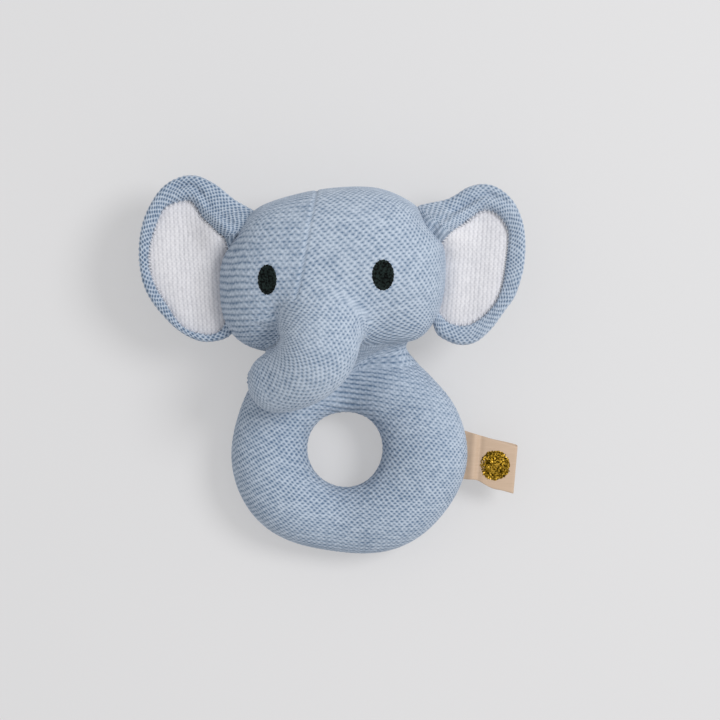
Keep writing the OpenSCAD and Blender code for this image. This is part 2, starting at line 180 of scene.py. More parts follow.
def apply_modifier(piece, kind, **settings):
    modifier = piece.modifiers.new(kind.title(), kind)
    for name, value in settings.items():
        setattr(modifier, name, value)
    select_only(piece)
    bpy.ops.object.modifier_apply(modifier=modifier.name)


def subdivide(piece, levels):
    apply_modifier(piece, "SUBSURF", levels=levels, render_levels=levels, use_limit_surface=False)


def read_vectors(items, field):
    """One vector for each point of a mesh."""
    flat = np.empty(len(items) * 3, np.float32)
    items.foreach_get(field, flat)
    return flat.reshape(-1, 3).astype(float)


def points_of(piece):
    """The piece's points, in millimetres."""
    return read_vectors(piece.data.vertices, "co") / MM


def move_points(piece, points):
    piece.data.vertices.foreach_set("co", (points * MM).ravel())
    piece.data.update()


def keep_values(piece, name, values):
    """Keeps a number or a vector for each point of the piece, which its material can read."""
    kind, field = ("FLOAT", "value") if values.ndim == 1 else ("FLOAT_VECTOR", "vector")
    kept = piece.data.attributes.new(name, kind, "POINT")
    kept.data.foreach_set(field, values.astype(np.float32).ravel())


def relax(piece, share, rounds):
    """Draws each point towards the mean of its neighbours by its own share."""
    pairs = np.empty(len(piece.data.edges) * 2, int)
    piece.data.edges.foreach_get("vertices", pairs)
    a, b = pairs.reshape(-1, 2).T
    points = points_of(piece)
    count = len(points)
    valence = np.bincount(a, minlength=count) + np.bincount(b, minlength=count)
    for _ in range(rounds):
        total = np.stack([np.bincount(a, points[b, axis], count) + np.bincount(b, points[a, axis], count)
                          for axis in range(3)], 1)
        points += share[:, None] * (total / valence[:, None] - points)
    move_points(piece, points)


def ramp(x, start, end):
    """0 before start, 1 after end and smooth between them."""
    t = np.clip((x - start) / (end - start), 0, 1)
    return t * t * (3 - 2 * t)


def unit(v):
    """The direction of each vector, with length 1."""
    return v / np.linalg.norm(v, axis=-1, keepdims=True)


def signed_pow(v, e):
    """A power that keeps the sign of what is raised."""
    return np.sign(v) * np.abs(v) ** e


def bell(x, width):
    """1 at 0, and falling smoothly to nearly nothing at twice the width on either side."""
    return np.exp(-(x / width) ** 2)


def full_turn(steps):
    """Angles all the way round in equal steps."""
    return 2 * np.pi * np.arange(steps) / steps


def hoop(turns, across, up):
    """Directions at the given turns, from across by way of up."""
    return across * np.cos(turns) + up * np.sin(turns)


def lengths_along(line):
    """Length of the line up to each of its points."""
    return np.concatenate([[0], np.cumsum(np.linalg.norm(np.diff(line, axis=0), axis=1))])


def through(points, steps):
    """A smooth closed curve through the points, with steps places between neighbours."""
    points = np.asarray(points, float)
    t = (np.arange(steps) / steps)[None, :, None]
    # The point before, this one, the next and the one beyond it
    a, b, c, d = (np.roll(points, shift, 0)[:, None, :] for shift in (1, 0, -1, -2))
    curve = (2 * b + (c - a) * t + (2 * a - 5 * b + 4 * c - d) * t ** 2
             + (3 * b - a - 3 * c + d) * t ** 3) / 2
    return curve.reshape(-1, points.shape[1])


# How hard the fibre presses in a firmly filled cover, and how many steps it takes to settle
PRESSURE = 12
STUFFING_STEPS = 20


def stuff(piece, held, pressure, cap):
    """Fills a cover with fibre: its skin swells between the held points, by at most cap."""
    before = points_of(piece)
    seam = piece.vertex_groups.new(name="seam")
    seam.add([int(i) for i in np.flatnonzero(held)], 1, "REPLACE")
    select_only(piece)
    cloth = piece.modifiers.new("Stuffing", "CLOTH")
    cloth.settings.quality = 5
    cloth.settings.mass = 0.01
    cloth.settings.use_pressure = True
    cloth.settings.uniform_pressure_force = pressure
    cloth.settings.effector_weights.gravity = 0
    cloth.settings.vertex_group_mass = "seam"
    cloth.point_cache.frame_start = 1
    cloth.point_cache.frame_end = STUFFING_STEPS
    for step in range(1, STUFFING_STEPS + 1):
        bpy.context.scene.frame_set(step)
    bpy.ops.object.modifier_apply(modifier=cloth.name)
    bpy.context.scene.frame_set(1)
    piece.vertex_groups.clear()
    moved = points_of(piece) - before
    reach = np.linalg.norm(moved, axis=1)
    moved *= (np.minimum(reach, cap) / np.maximum(reach, 1e-9))[:, None]
    move_points(piece, before + moved)


# ---------- knitting ----------

def wander(points, scale, seed):
    """A slow wave from -1 to 1 over the surface, for the unevenness of hand-fed yarn."""
    x, y, z = points.T / scale
    return (np.sin(1.3 * x + 2.1 * y + seed) + np.sin(2.3 * y - 1.1 * z + 1.7 * seed)
            + np.sin(1.9 * z + 1.6 * x + 2.9 * seed)) / 3


# Each row is two strands of yarn that wave against each other: how far they wave where the knitting lies flat,
# and how much of that is lost in a rib
YARN_WAVE, RIB_CALM = 0.2, 0.12
# Half a strand's width in rows where the stitches lie close, and how much of that is lost where they gape
YARN_HALF, GAP_THIN = 0.5, 0.19
# A strand's mean height, and how much it swells where it crosses over the next
BEAD_MEAN, BEAD_SWELL = 0.86, 0.14
# How much of the height a full rib sets
RIB_SHARE = 0.75


def yarn_height(u, v, rib, gap):
    """Reverse stocking stitch from 0 in a hole to 1 on the yarn. u counts stitches and v counts rows. rib is
    0 where the knitting lies flat, and 1 where it is drawn along its rows, which then stand up as ribs. gap is
    0 where the stitches lie close, and 1 where they are stretched open."""
    wave = (YARN_WAVE - RIB_CALM * rib) * np.cos(2 * np.pi * u)
    half = YARN_HALF - GAP_THIN * gap

    def yarn(centre):
        across = (v - centre + 0.5) % 1 - 0.5
        return np.clip(1 - (across / half) ** 2, 0, 1)

    bead = BEAD_MEAN + BEAD_SWELL * np.cos(4 * np.pi * u)
    open_knit = bead * np.maximum(yarn(0.25 + wave), yarn(0.75 - wave))
    ridge = 0.5 - 0.5 * np.cos(2 * np.pi * (v + 0.5 * wave))
    return open_knit + RIB_SHARE * rib * (ridge - open_knit)


def knit(piece, u, v, rib=0.0, gap=0.7, depth=RELIEF, sunk=0.0):
    """Raises the stitches on a finished mesh, and keeps their places for the yarn's colour. No two are quite
    alike: their places, their gaps and their height wander over 1 to 6 mm."""
    points = points_of(piece)
    u = u + 0.13 * wander(points, 4, 1) + 0.09 * wander(points, 1.4, 5)
    v = v + 0.13 * wander(points, 5, 2) + 0.08 * wander(points, 1.3, 7)
    rib = np.broadcast_to(rib, u.shape)
    gap = np.clip(gap + 0.14 * wander(points, 6, 11) + 0.12 * wander(points, 1.7, 13), 0, 1)
    height = yarn_height(u, v, rib, gap) - 0.6
    lift = depth * (0.6 + 0.4 * gap) * height * (1 + 0.3 * wander(points, 3, 3)) - sunk
    move_points(piece, points + read_vectors(piece.data.vertices, "normal") * lift[:, None])
    keep_values(piece, "stitch_place", np.stack([u, v, rib], 1))
    keep_values(piece, "stitch_gap", gap)
    select_only(piece)
    bpy.ops.object.shade_smooth()


def keep_plan(piece, plan):
    """Keeps each point's stitch and row through the steps that divide the mesh."""
    plan = np.vstack(plan)
    # The middles of the two ends have none of their own
    spare = len(piece.data.vertices) - len(plan)
    keep_values(piece, "plan", np.vstack([plan, np.tile(plan[-1], (spare, 1))]))


def take_plan(piece):
    """Stitch and row numbers of each point, as keep_plan kept them."""
    plan = read_vectors(piece.data.attributes["plan"].data, "vector")
    piece.data.attributes.remove(piece.data.attributes["plan"])
    return plan[:, 0], plan[:, 1]


def lay_threads(name, paths, radius, finish):
    """Threads of round section with rounded ends, each along its own path of points."""
    points, faces = [], []
    sides = 6
    # No thread runs straight along this direction
    aside = [0.13, 0.21, 0.97]
    for path in paths:
        path = np.asarray(path, float)
        ahead = unit(np.gradient(path, axis=0))
        across = unit(np.cross(ahead, aside))
        up = np.cross(across, ahead)
        girth = np.full(len(path), radius)
        girth[[0, -1]] = 0.4 * radius
        section = hoop(full_turn(sides)[None, :, None], across[:, None], up[:, None])
        rings = path[:, None] + girth[:, None, None] * section
        start = sum(len(block) for block in points)
        points.append(rings.reshape(-1, 3))
        faces += [tuple(start + i for i in face) for face in grid_faces(len(path), sides, False)]
        faces.append(tuple(start + j for j in reversed(range(sides))))
        faces.append(tuple(start + (len(path) - 1) * sides + j for j in range(sides)))
    piece = add_mesh(name, np.vstack(points), faces)
    face_outwards(piece)
    bpy.ops.object.shade_smooth()
    piece.data.materials.append(finish)
    return piece


# ---------- finishes ----------

def srgb(code):
    """A linear colour from its sRGB hex value."""
    channels = [int(code[i:i + 2], 16) / 255 for i in (0, 2, 4)]
    return tuple(c / 12.92 if c <= 0.04045 else ((c + 0.055) / 1.055) ** 2.4 for c in channels) + (1.0,)


def feed(material, node, sockets):
    """Links or sets each named or numbered input of a node."""
    for name, value in sockets.items():
        if isinstance(value, bpy.types.NodeSocket):
            material.node_tree.links.new(value, node.inputs[name])
        else:
            node.inputs[name].default_value = value


def add_node(material, kind, sockets=None, **settings):
    """A node with its settings, and with each named or numbered input linked or set."""
    node = material.node_tree.nodes.new(kind)
    for name, value in settings.items():
        setattr(node, name, value)
    feed(material, node, sockets or {})
    return node


def new_finish(name):
    """A material, and the place on the piece that its patterns read."""
    material = bpy.data.materials.new(name)
    material.use_nodes = True
    return material, add_node(material, "ShaderNodeTexCoord").outputs["Object"]


def finish(material, tone, stops, reliefs, surface):
    """Colours a material by its tone, raises its reliefs and sets its surface. Each stop is a place along the
    tone with its colour, and each relief is a height with its strength and its depth in millimetres."""
    colour = add_node(material, "ShaderNodeValToRGB", {"Fac": tone})
    for place, _ in stops[1:-1]:
        colour.color_ramp.elements.new(place)
    for element, (place, code) in zip(colour.color_ramp.elements, stops):
        element.position, element.color = place, srgb(code)
    sockets = {"Base Color": colour.outputs["Color"]}
    for height, strength, depth in reliefs:
        below = {"Normal": sockets["Normal"]} if "Normal" in sockets else {}
        raised = add_node(material, "ShaderNodeBump", {
            "Height": height, "Strength": strength, "Distance": depth * MM, **below})
        sockets["Normal"] = raised.outputs["Normal"]
    feed(material, material.node_tree.nodes["Principled BSDF"], {**sockets, **surface})
    return material


# yarn_height step by step for the material, and then the yarn's tone, from dark in the holes, where the darker
# colour is painted shade, to light on top.
# Each step has its name, its operation and two values, which are numbers or the names of earlier steps
KNIT_STEPS = [
    ("thinner", "MULTIPLY", "gap", GAP_THIN), ("half", "SUBTRACT", YARN_HALF, "thinner"),
    ("calmer", "MULTIPLY", "rib", RIB_CALM), ("reach", "SUBTRACT", YARN_WAVE, "calmer"),
    ("turn", "MULTIPLY", "u", 2 * math.pi), ("swing", "COSINE", "turn", 0),
    ("wave", "MULTIPLY", "swing", "reach"),
    ("lower centre", "ADD", "wave", 0.25), ("upper centre", "SUBTRACT", 0.75, "wave")]
for strand in ("lower", "upper"):
    # The added 100 keeps a row number above 0, so that only its fraction is left
    KNIT_STEPS += [
        ("off", "SUBTRACT", "v", strand + " centre"), ("shifted", "ADD", "off", 100.5),
        ("part", "FRACT", "shifted", 0), ("across", "SUBTRACT", "part", 0.5),
        ("share", "DIVIDE", "across", "half"), ("square", "POWER", "share", 2),
        ("dome", "SUBTRACT", 1, "square"), (strand, "MAXIMUM", "dome", 0)]
KNIT_STEPS += [
    ("yarn", "MAXIMUM", "lower", "upper"), ("turn", "MULTIPLY", "u", 4 * math.pi),
    ("swing", "COSINE", "turn", 0), ("swell", "MULTIPLY", "swing", BEAD_SWELL),
    ("bead", "ADD", BEAD_MEAN, "swell"), ("open knit", "MULTIPLY", "yarn", "bead"),
    ("lean", "MULTIPLY", "wave", 0.5), ("level", "ADD", "v", "lean"),
    ("turn", "MULTIPLY", "level", 2 * math.pi), ("rise", "COSINE", "turn", 0),
    ("half rise", "MULTIPLY", "rise", 0.5), ("ridge", "SUBTRACT", 0.5, "half rise"),
    ("ribbed", "MULTIPLY", "rib", RIB_SHARE), ("change", "SUBTRACT", "ridge", "open knit"),
    ("raised", "MULTIPLY", "ribbed", "change"), ("height", "ADD", "open knit", "raised"),
    ("tone", "MULTIPLY", "height", 0.75)]
for pattern, share in (("fibre", 0.3), ("slub", 0.4), ("uneven", 0.2), ("cloud", 0.2)):
    KNIT_STEPS += [("part", "MULTIPLY", pattern, share), ("tone", "ADD", "tone", "part")]
KNIT_STEPS.append(("tone", "SUBTRACT", "tone", 0.46))


def knitted_cotton(name, yarn_colour, hole_shade_colour):
    """Cotton yarn, machine knitted with the purl side out: soft matt ropes with holes between them, whose
    darker colour is painted shade, and a halo of loose fibre that catches the light at the edges."""
    material, where = new_finish(name)
    place = add_node(material, "ShaderNodeAttribute", attribute_name="stitch_place").outputs["Vector"]
    u, v, rib = add_node(material, "ShaderNodeSeparateXYZ", {0: place}).outputs
    gap = add_node(material, "ShaderNodeAttribute", attribute_name="stitch_gap").outputs["Fac"]
    values = {"u": u, "v": v, "rib": rib, "gap": gap}
    # Loose fibres, about 0.25 mm apart, thick and thin places in the yarn, some 0.8 mm long, and cloudier
    # dyeing over some 6 mm
    for pattern, scale, detail, roughness in (
            ("fibre", 4000, 3, 0.7), ("slub", 1250, 2, 0.6), ("cloud", 160, 2, 0.5)):
        values[pattern] = add_node(material, "ShaderNodeTexNoise", {
            "Vector": where, "Scale": scale, "Detail": detail, "Roughness": roughness}).outputs["Fac"]
    # Stitches that are looser or tighter than the next, two in the height of a row
    doubled = add_node(material, "ShaderNodeVectorMath", {0: place, 1: (1, 2, 0)}, operation="MULTIPLY")
    stitch = add_node(material, "ShaderNodeVectorMath", {0: doubled.outputs[0]}, operation="FLOOR")
    uneven = add_node(material, "ShaderNodeTexWhiteNoise", {"Vector": stitch.outputs[0]})
    values["uneven"] = uneven.outputs["Value"]
    for step, operation, first, second in KNIT_STEPS:
        values[step] = add_node(material, "ShaderNodeMath", {
            0: values.get(first, first), 1: values.get(second, second)}, operation=operation).outputs[0]
    # The holes' colour is painted shade, and the yarn's colour is its own
    return finish(material, values["tone"], [(0.12, hole_shade_colour), (0.85, yarn_colour)], [
        (values["height"], 0.5, 0.2), (values["fibre"], 0.35, 0.1)], {
        "Roughness": 0.95, "Specular IOR Level": 0.15, "Sheen Weight": 0.15, "Sheen Roughness": 0.6})


def twisted_thread(name, colour, shade, gloss, spacing=0.3):
    """Sewing or embroidery thread: fine plies wound together, so light breaks up along it."""
    material, where = new_finish(name)
    plies = add_node(material, "ShaderNodeTexNoise", {
        "Vector": where, "Scale": 1 / (spacing * MM), "Detail": 3}).outputs["Fac"]
    return finish(material, plies, [(0.4, shade), (0.6, colour)], [(plies, 0.4, 0.1)], {
        "Roughness": 0.9 - 0.4 * gloss, "Specular IOR Level": 0.5 * gloss, "Sheen Weight": 0.3 * gloss})


def satin(name, colour, shade):
    """Polyester satin ribbon: warp threads float over the weft, so it gleams softly across its length."""
    material, where = new_finish(name)
    # Warp threads are 0.15 mm wide. They are drawn 0.5 mm wide to show, as long streaks
    along = add_node(material, "ShaderNodeMapping", {
        "Vector": where, "Rotation": (0, 0, 0.29), "Scale": (150, 2000, 400)}).outputs["Vector"]
    warp = add_node(material, "ShaderNodeTexNoise", {"Vector": along, "Scale": 1, "Detail": 3}).outputs["Fac"]
    return finish(material, warp, [(0.25, shade), (0.75, colour)], [(warp, 0.3, 0.05)], {
        "Roughness": 0.48, "Specular IOR Level": 0.4, "Sheen Weight": 0.2})


def foil_glitter(name, painted_reflection_golds):
    """Metallised film, cut in flakes: each 0.5 mm cell is painted dark, mid or bright gold, a painted
    reflection of the patch of room that a flake mirrors.
    """
    material, where = new_finish(name)
    # Cells of 0.5 mm, the size of the flakes, each painted one of the dark, mid and bright golds: painted
    # reflection
    cells = add_node(material, "ShaderNodeTexVoronoi", {"Vector": where, "Scale": 2000})
    pick = add_node(material, "ShaderNodeSeparateXYZ", {0: cells.outputs["Color"]}).outputs[0]
    return finish(material, pick, list(zip((0, 0.5, 1), painted_reflection_golds)), [], {"Metallic": 1, "Roughness": 0.45})


def moulded_plastic(name, colour, shade):
    """Injection-moulded plastic: glossy, with a faint flow pattern and a fine unevenness left by the mould."""
    material, where = new_finish(name)
    flow = add_node(material, "ShaderNodeTexNoise", {
        "Vector": where, "Scale": 220, "Detail": 3, "Distortion": 1.5}).outputs["Fac"]
    return finish(material, flow, [(0.3, shade), (0.7, colour)], [(flow, 0.1, 0.1)], {
        "Roughness": 0.28, "Specular IOR Level": 0.5})


# The second colour of each knit is painted shade in its holes
blue_knit = knitted_cotton("Blue knitted cotton", "BECAD9", "5E7692")
white_knit = knitted_cotton("White knitted cotton", "E8E7EB", "C3C3C9")
blue_thread = twisted_thread("Blue sewing thread", "A9B8CC", "8497AE", 0.2)
white_thread = twisted_thread("White sewing thread", "EDEDF0", "CFD1D6", 0.2)
satin_ribbon = satin("Beige satin ribbon", "C9AF97", "C1A78E")
# Its dark, mid and bright golds are painted reflection
gold_glitter = foil_glitter("Gold foil glitter", ("241B03", "7F6114", "D9B045"))
case_plastic = moulded_plastic("Moulded polypropylene, ivory", "F2EEDD", "E6E0CB")
bead_plastic = moulded_plastic("Moulded ABS, orange", "D9A066", "C98F56")
eye_thread = twisted_thread("Black-green embroidery silk", "1F2A28", "010202", 0.15, spacing=0.8)


# ---------- camera, light and table ----------

def add_camera():
    """Straight above the toy, with a long lens, far enough for a flat view."""
    data = bpy.data.cameras.new("camera")
    data.lens = 121.6
    data.sensor_width = 36
    data.clip_end = 10
    camera = add_object("camera", data)
    camera.location = (0.00518, 0.03293, 0.918)
    bpy.context.scene.camera = camera


def add_softbox(name, place, aim, size, power):
    """A round soft lamp that faces the place it lights. Sizes are in metres and the power is in watts."""
    data = bpy.data.lights.new(name, "AREA")
    data.shape = "DISK"
    data.size = size
    data.energy = power
    lamp = add_object(name, data)
    lamp.location = place
    lamp.rotation_euler = (Vector(aim) - Vector(place)).to_track_quat("-Z", "Y").to_euler()


def add_table():
    """Matt white board, a little cool, under and round the toy."""
    bpy.ops.object.select_all(action="DESELECT")
    bpy.ops.mesh.primitive_plane_add(size=6, location=(0, 0, 0))
    table = bpy.context.active_object
    table.name = "table"
    material, where = new_finish("Matt white board")
    cloud = add_node(material, "ShaderNodeTexNoise", {"Vector": where, "Scale": 3, "Detail": 2}).outputs["Fac"]
    board = add_node(material, "ShaderNodeMix", {
        "Factor": cloud, 6: srgb("DDDDDE"), 7: srgb("E1E0E1")}, data_type="RGBA").outputs[2]
    # As it is looked at, the board glows a little, so that the shadows on it stay light
    rays = add_node(material, "ShaderNodeLightPath").outputs
    seen = rays["Is Camera Ray"]
    for ray in ("Is Glossy Ray", "Is Transmission Ray"):
        seen = add_node(material, "ShaderNodeMath", {0: seen, 1: rays[ray]}, operation="MAXIMUM").outputs[0]
    glow = add_node(material, "ShaderNodeMath", {0: seen, 1: 0.5}, operation="MULTIPLY").outputs[0]
    dim = add_node(material, "ShaderNodeMix", {
        "Factor": glow, 6: board, 7: srgb("000000")}, data_type="RGBA").outputs[2]
    feed(material, material.node_tree.nodes["Principled BSDF"], {
        "Base Color": dim, "Emission Color": board, "Emission Strength": glow, "Roughness": 0.9,
        "Specular IOR Level": 0.2})
    table.data.materials.append(material)


def add_world(strength):
    """An even, nearly white studio all round."""
    world = bpy.data.worlds.new("studio")
    world.use_nodes = True
    feed(world, world.node_tree.nodes["Background"], {"Color": srgb("F8F8F8"), "Strength": strength})
    bpy.context.scene.world = world


add_camera()
add_softbox("key softbox", (0.72, 0.3, 1.0), (0, 0.04, 0.02), 0.5, 8)
add_world(0.65)
add_table()
bpy.context.scene.view_settings.view_transform = "Standard"


# ---------- ring ----------

# Sewn by hand, the ring is fuller beside the label and flatter on its two shoulders: by how much, at which
# angle round the ring and over what angle to either side
TUBE_SWELLS = [(1.1, -0.1, 0.42), (-0.6, 0.68, 0.22), (-0.5, 2.85, 0.3)]


def tube_half_w(a):
    """Half the width of the ring's tube at angle a round the ring."""
    bottom = np.maximum(0, np.cos(a - NARROW_ANGLE)) ** 6
    top = np.maximum(0, np.sin(a)) ** 6
    width = TUBE_SIDE_W - bottom * (TUBE_SIDE_W - TUBE_BOTTOM_W) - top * (TUBE_SIDE_W - TUBE_TOP_W)
    return width / 2 + sum(swell * bell((a - angle + np.pi) % (2 * np.pi) - np.pi, spread)
                           for swell, angle, spread in TUBE_SWELLS)


def tube_mid_r(a):
    return HOLE_R + HOLE_PEAK * np.maximum(0, np.sin(a)) ** 8 + tube_half_w(a)


def tube_mid_z(a):
    return tube_half_w(a) * TUBE_FLATNESS - REST_PRESS


def hole_fullness(a):
    """The stuffing swells into the hole under the head and a little beside the label."""
    return 2.0 * bell(a - np.pi / 2, 0.55) + 0.9 * np.maximum(0, np.cos(a)) ** 2


def on_tube(a, s, inset):
    """A point of the ring's skin at angle a round the ring and s round its tube, below it by inset."""
    half_w = tube_half_w(a)
    r = tube_mid_r(a) + (half_w - inset) * np.cos(s) - hole_fullness(a) * np.maximum(0, -np.cos(s)) ** 1.5
    z = tube_mid_z(a) + (half_w * TUBE_FLATNESS - inset) * np.sin(s)
    return np.stack([r * np.cos(a), r * np.sin(a), np.maximum(z, 0.1)], -1)


def soft_step(x, width):
    """0 where x is well below 0, x where it is well above, and rounded in between."""
    return width * np.log1p(np.exp(x / width))


def ring_stitches(points):
    """Stitch and row numbers: each panel is cut flat, with its rows level, and then drawn round the tube."""
    x, y, z = points.T
    a = np.arctan2(y, x)
    rho = np.hypot(x, y)
    half_w = tube_half_w(a)
    turn = np.arctan2(rho - tube_mid_r(a), z - tube_mid_z(a))
    turn = np.where(np.abs(turn) > np.pi / 2, np.sign(turn) * (np.pi - np.abs(turn)), turn)
    spread = np.where(turn > 0, turn, 0.5 * turn + 0.5 * np.sin(turn))
    flat_r = tube_mid_r(a) + half_w * spread
    flat_x, flat_y = flat_r * np.cos(a), flat_r * np.sin(a)
    # The rows drop to the right, and much more steeply on the left where the cover was pulled down
    tilt = 0.12 * flat_x - 0.38 * soft_step(-(flat_x + 25), 4)
    # They lie closer at the top, where the ring is drawn to the head
    closer = 0.22 * soft_step(flat_y - 24, 3)
    return flat_x / STITCH_W, (flat_y + tilt + closer) / ROW_H


def make_ring_cover():
    """The ring's two panels as one skin, drawn in along both seams and filled."""
    around, across = 132, 56
    a, s = np.meshgrid(full_turn(around), full_turn(across), indexing="ij")
    skin = on_tube(a, s, 0.1 + 0.3 * bell(np.sin(s), 0.1))
    cover = add_mesh("ring_cover", skin.reshape(-1, 3), grid_faces(around, across, True))
    face_outwards(cover)
    seam = np.zeros((around, across), bool)
    seam[:, [0, across // 2]] = True
    stuff(cover, seam.ravel(), PRESSURE, 0.4)
    subdivide(cover, 2)
    points = points_of(cover)
    x, y = points[:, :2].T
    # The knitting stands up in ribs below the head and at the foot, and lies closer on the upper right
    rib = 0.15 + 0.7 * bell(np.arctan2(y, x) - 1.5, 0.7) + 0.4 * ramp(-y, 25, 40)
    knit(cover, *ring_stitches(points), rib, 0.82 - 0.35 * ramp(x + y, 26, 55))
    cover.data.materials.append(blue_knit)
    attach(cover, "ring")
    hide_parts("ring_front_panel", "ring_back_panel", "ring_filling")


make_ring_cover()


# ---------- head and trunk ----------

def rounded(share, power):
    """Height of a rounded box at a share of its half width, in shares of its half height."""
    return np.maximum(0, 1 - share ** power) ** (1 / power)


def span(x, power, inset):
    """How much of the head's height or depth is left at x from its middle."""
    return rounded(np.abs(x) / (HEAD_HALF_W - inset), power)


def chin(level):
    """The face slopes back towards the ring below the eyes."""
    return 1 - 0.14 * ramp(-level, 5, 26)


def on_head(x, s, inset):
    """A point of the head at x from its middle and at angle s round it, from the crown over the face."""
    up = np.where(np.cos(s) > 0, (HEAD_UP - inset) * span(x, CROWN_POWER, inset),
                  (HEAD_DOWN - inset) * span(x, CHEEK_POWER, inset))
    out = np.where(np.sin(s) > 0, HEAD_FRONT - inset, HEAD_BACK - inset) * span(x, DEPTH_POWER, inset)
    # Stuffing fills the crown more on the left, and the cheek more on the right
    crown = 1.0 * bell(x + 27, 7) - 1.2 * bell(x - 28, 7)
    uneven = np.where(np.cos(s) > 0, crown, -3.2 * bell(x - 33, 9)) * np.abs(np.cos(s))
    level = up * signed_pow(np.cos(s), 2 / DEPTH_POWER)
    y = level + HEAD_SLUMP * x + uneven
    z = out * signed_pow(np.sin(s), 2 / DEPTH_POWER)
    # A hollow beside the trunk's left flank
    hollow = 1 - 0.14 * bell(x + 20.5, 4.5) * bell(level + 20, 8)
    z = np.where(z > 0, z * chin(level) * hollow, z)
    # The head is pinched where the upper corner of each ear is sewn to it
    pinch = bell(level - 13.5, 7.5) * (4.3 * ramp(x, 22, 40) - 2.2 * ramp(-x, 24, 40))
    return np.stack([HEAD_X + x - pinch, HEAD_Y + y, np.maximum(HEAD_Z + z, 0.1)], -1)


def head_fullness(points):
    """1 on the head's skin, less inside and more outside, in shares of its size along Y and Z."""
    x, y, z = (points - [HEAD_X, HEAD_Y, HEAD_Z]).T
    level = y - HEAD_SLUMP * x
    up = np.where(level > 0, HEAD_UP * span(x, CROWN_POWER, 0), HEAD_DOWN * span(x, CHEEK_POWER, 0))
    out = np.where(z > 0, HEAD_FRONT * chin(level), HEAD_BACK) * span(x, DEPTH_POWER, 0)
    return (np.abs(level / np.maximum(up, 1)) ** DEPTH_POWER
            + np.abs(z / np.maximum(out, 1)) ** DEPTH_POWER) ** (1 / DEPTH_POWER)


def trunk_mid(t):
    """The trunk's middle line, from the face at 0 to the closed end at 1."""
    t = np.asarray(t, float)[..., None]
    p0, p1, p2, p3 = TRUNK_LINE
    return (1 - t) ** 3 * p0 + 3 * (1 - t) ** 2 * t * p1 + 3 * (1 - t) * t ** 2 * p2 + t ** 3 * p3


def trunk_frame(t):
    """Directions along the trunk, across it and out of its top at t."""
    ahead = unit(trunk_mid(np.asarray(t) + 0.01) - trunk_mid(np.asarray(t) - 0.01))
    across = unit(np.cross(ahead, [0, 0, 1.0]))
    return ahead, across, np.cross(across, ahead)


def trunk_r(t):
    return TRUNK_ROOT_R + (TRUNK_TIP_R - TRUNK_ROOT_R) * np.clip(t, 0, 1) ** 1.3


TRUNK_STEPS = np.linspace(0, 1, 81)


def along_trunk(points):
    """For each point: its place t along the trunk, how far it lies beyond the trunk's end, its distance from
    the middle line and its turn round it."""
    line = trunk_mid(TRUNK_STEPS)
    nearest = np.argmin(((points[:, None, :] - line[None]) ** 2).sum(-1), 1)
    t = TRUNK_STEPS[nearest]
    ahead, across, up = trunk_frame(t)
    off = points - line[nearest]
    beyond = (off * ahead).sum(-1)
    side, rise = (off * across).sum(-1), (off * up).sum(-1)
    return t, beyond, np.hypot(side, rise), np.arctan2(-side, rise)


TRUNK_ROOT = TRUNK_LINE[0]


def seam_x(y):
    """The head's centre seam as the toy is looked at: the face is turned a little to the left."""
    return HEAD_X - 5.6 - 0.16 * (HEAD_Y + HEAD_UP - y)


# A quarter of the head's section, from the middle of the face to the crown, in shares of its depth and height:
# its points' heights, their angles from the middle and the length over the face up to each
HEAD_TURNS = np.linspace(np.pi / 2, 0, 90)
HEAD_SHARES = np.cos(HEAD_TURNS) ** (2 / DEPTH_POWER)
HEAD_DEPTHS = np.sin(HEAD_TURNS) ** (2 / DEPTH_POWER)
HEAD_RUN = lengths_along(np.stack([HEAD_SHARES, HEAD_DEPTHS], 1))
HEAD_ANGLES = np.arctan2(HEAD_SHARES, HEAD_DEPTHS)


def head_stitches(points):
    """Stitch and row numbers of the head's two panels, which meet at the centre seam, and the seam's distance.
    Rows run level round the face and close in on the chin. Over the crown they run on down the back."""
    x, y, z = (points - [HEAD_X, HEAD_Y, HEAD_Z]).T
    level = y - HEAD_SLUMP * x
    reach = np.where(level > 0, HEAD_UP, HEAD_DOWN)
    power = np.where(level > 0, CROWN_POWER, CHEEK_POWER)
    full_depth = np.where(z > 0, HEAD_FRONT, HEAD_BACK)
    share = np.clip(np.abs(level) / reach, 0, 0.995)
    half_w = HEAD_HALF_W * (1 - share ** power) ** 0.4
    depth = full_depth * rounded(share, DEPTH_POWER)
    angle = np.arctan2(x / half_w, z / depth)
    # The seam turns to the left over the face, and runs down the middle of the back
    seam = seam_x(points[:, 1]) - HEAD_X
    on_face = ramp(z, -24, 2)
    start = np.arcsin(np.clip(seam / half_w, -0.9, 0.9)) * on_face
    round_by = (angle - start) * 0.5 * (half_w + depth)
    rows = np.sign(level) * reach * np.interp(share, HEAD_SHARES, HEAD_RUN)
    # Over the crown the rows run on to the back and down it, instead of closing in on one point
    side = np.clip(np.abs(x) / HEAD_HALF_W, 0, 0.97)
    half_h = reach * (1 - side ** 2.5) ** (1 / power)
    out = full_depth * rounded(side, DEPTH_POWER)
    over = np.arctan2(np.abs(level) / half_h, np.abs(z) / out)
    run = np.sign(level) * reach * np.interp(over, HEAD_ANGLES, HEAD_RUN)
    run = np.where(z > 0, run, 2 * HEAD_UP * HEAD_RUN[-1] - run)
    across = HEAD_HALF_W * np.arcsin(np.clip(x / HEAD_HALF_W, -0.98, 0.98)) - seam * on_face
    crossing = np.where(z > 0, ramp(level, 3, 14) * ramp(over, 0.7, 1.35), 1)
    rows = rows + crossing * (run - rows)
    round_by = round_by + crossing * (across - round_by)
    # The two panels don't match where they meet: the left one starts half a stitch on, and its rows rise
    left = ramp(-round_by, -0.5, 0.5)
    u = round_by / STITCH_W + 0.45 * left
    v = HEAD_ROWS * rows / ROW_H + left * (0.5 + 0.06 * u) - (1 - left) * 0.05 * u
    return u, v, round_by


# The head's shell starts this far inside its full size, as the raised stitches and the stuffing add to it
HEAD_INSET = 0.4


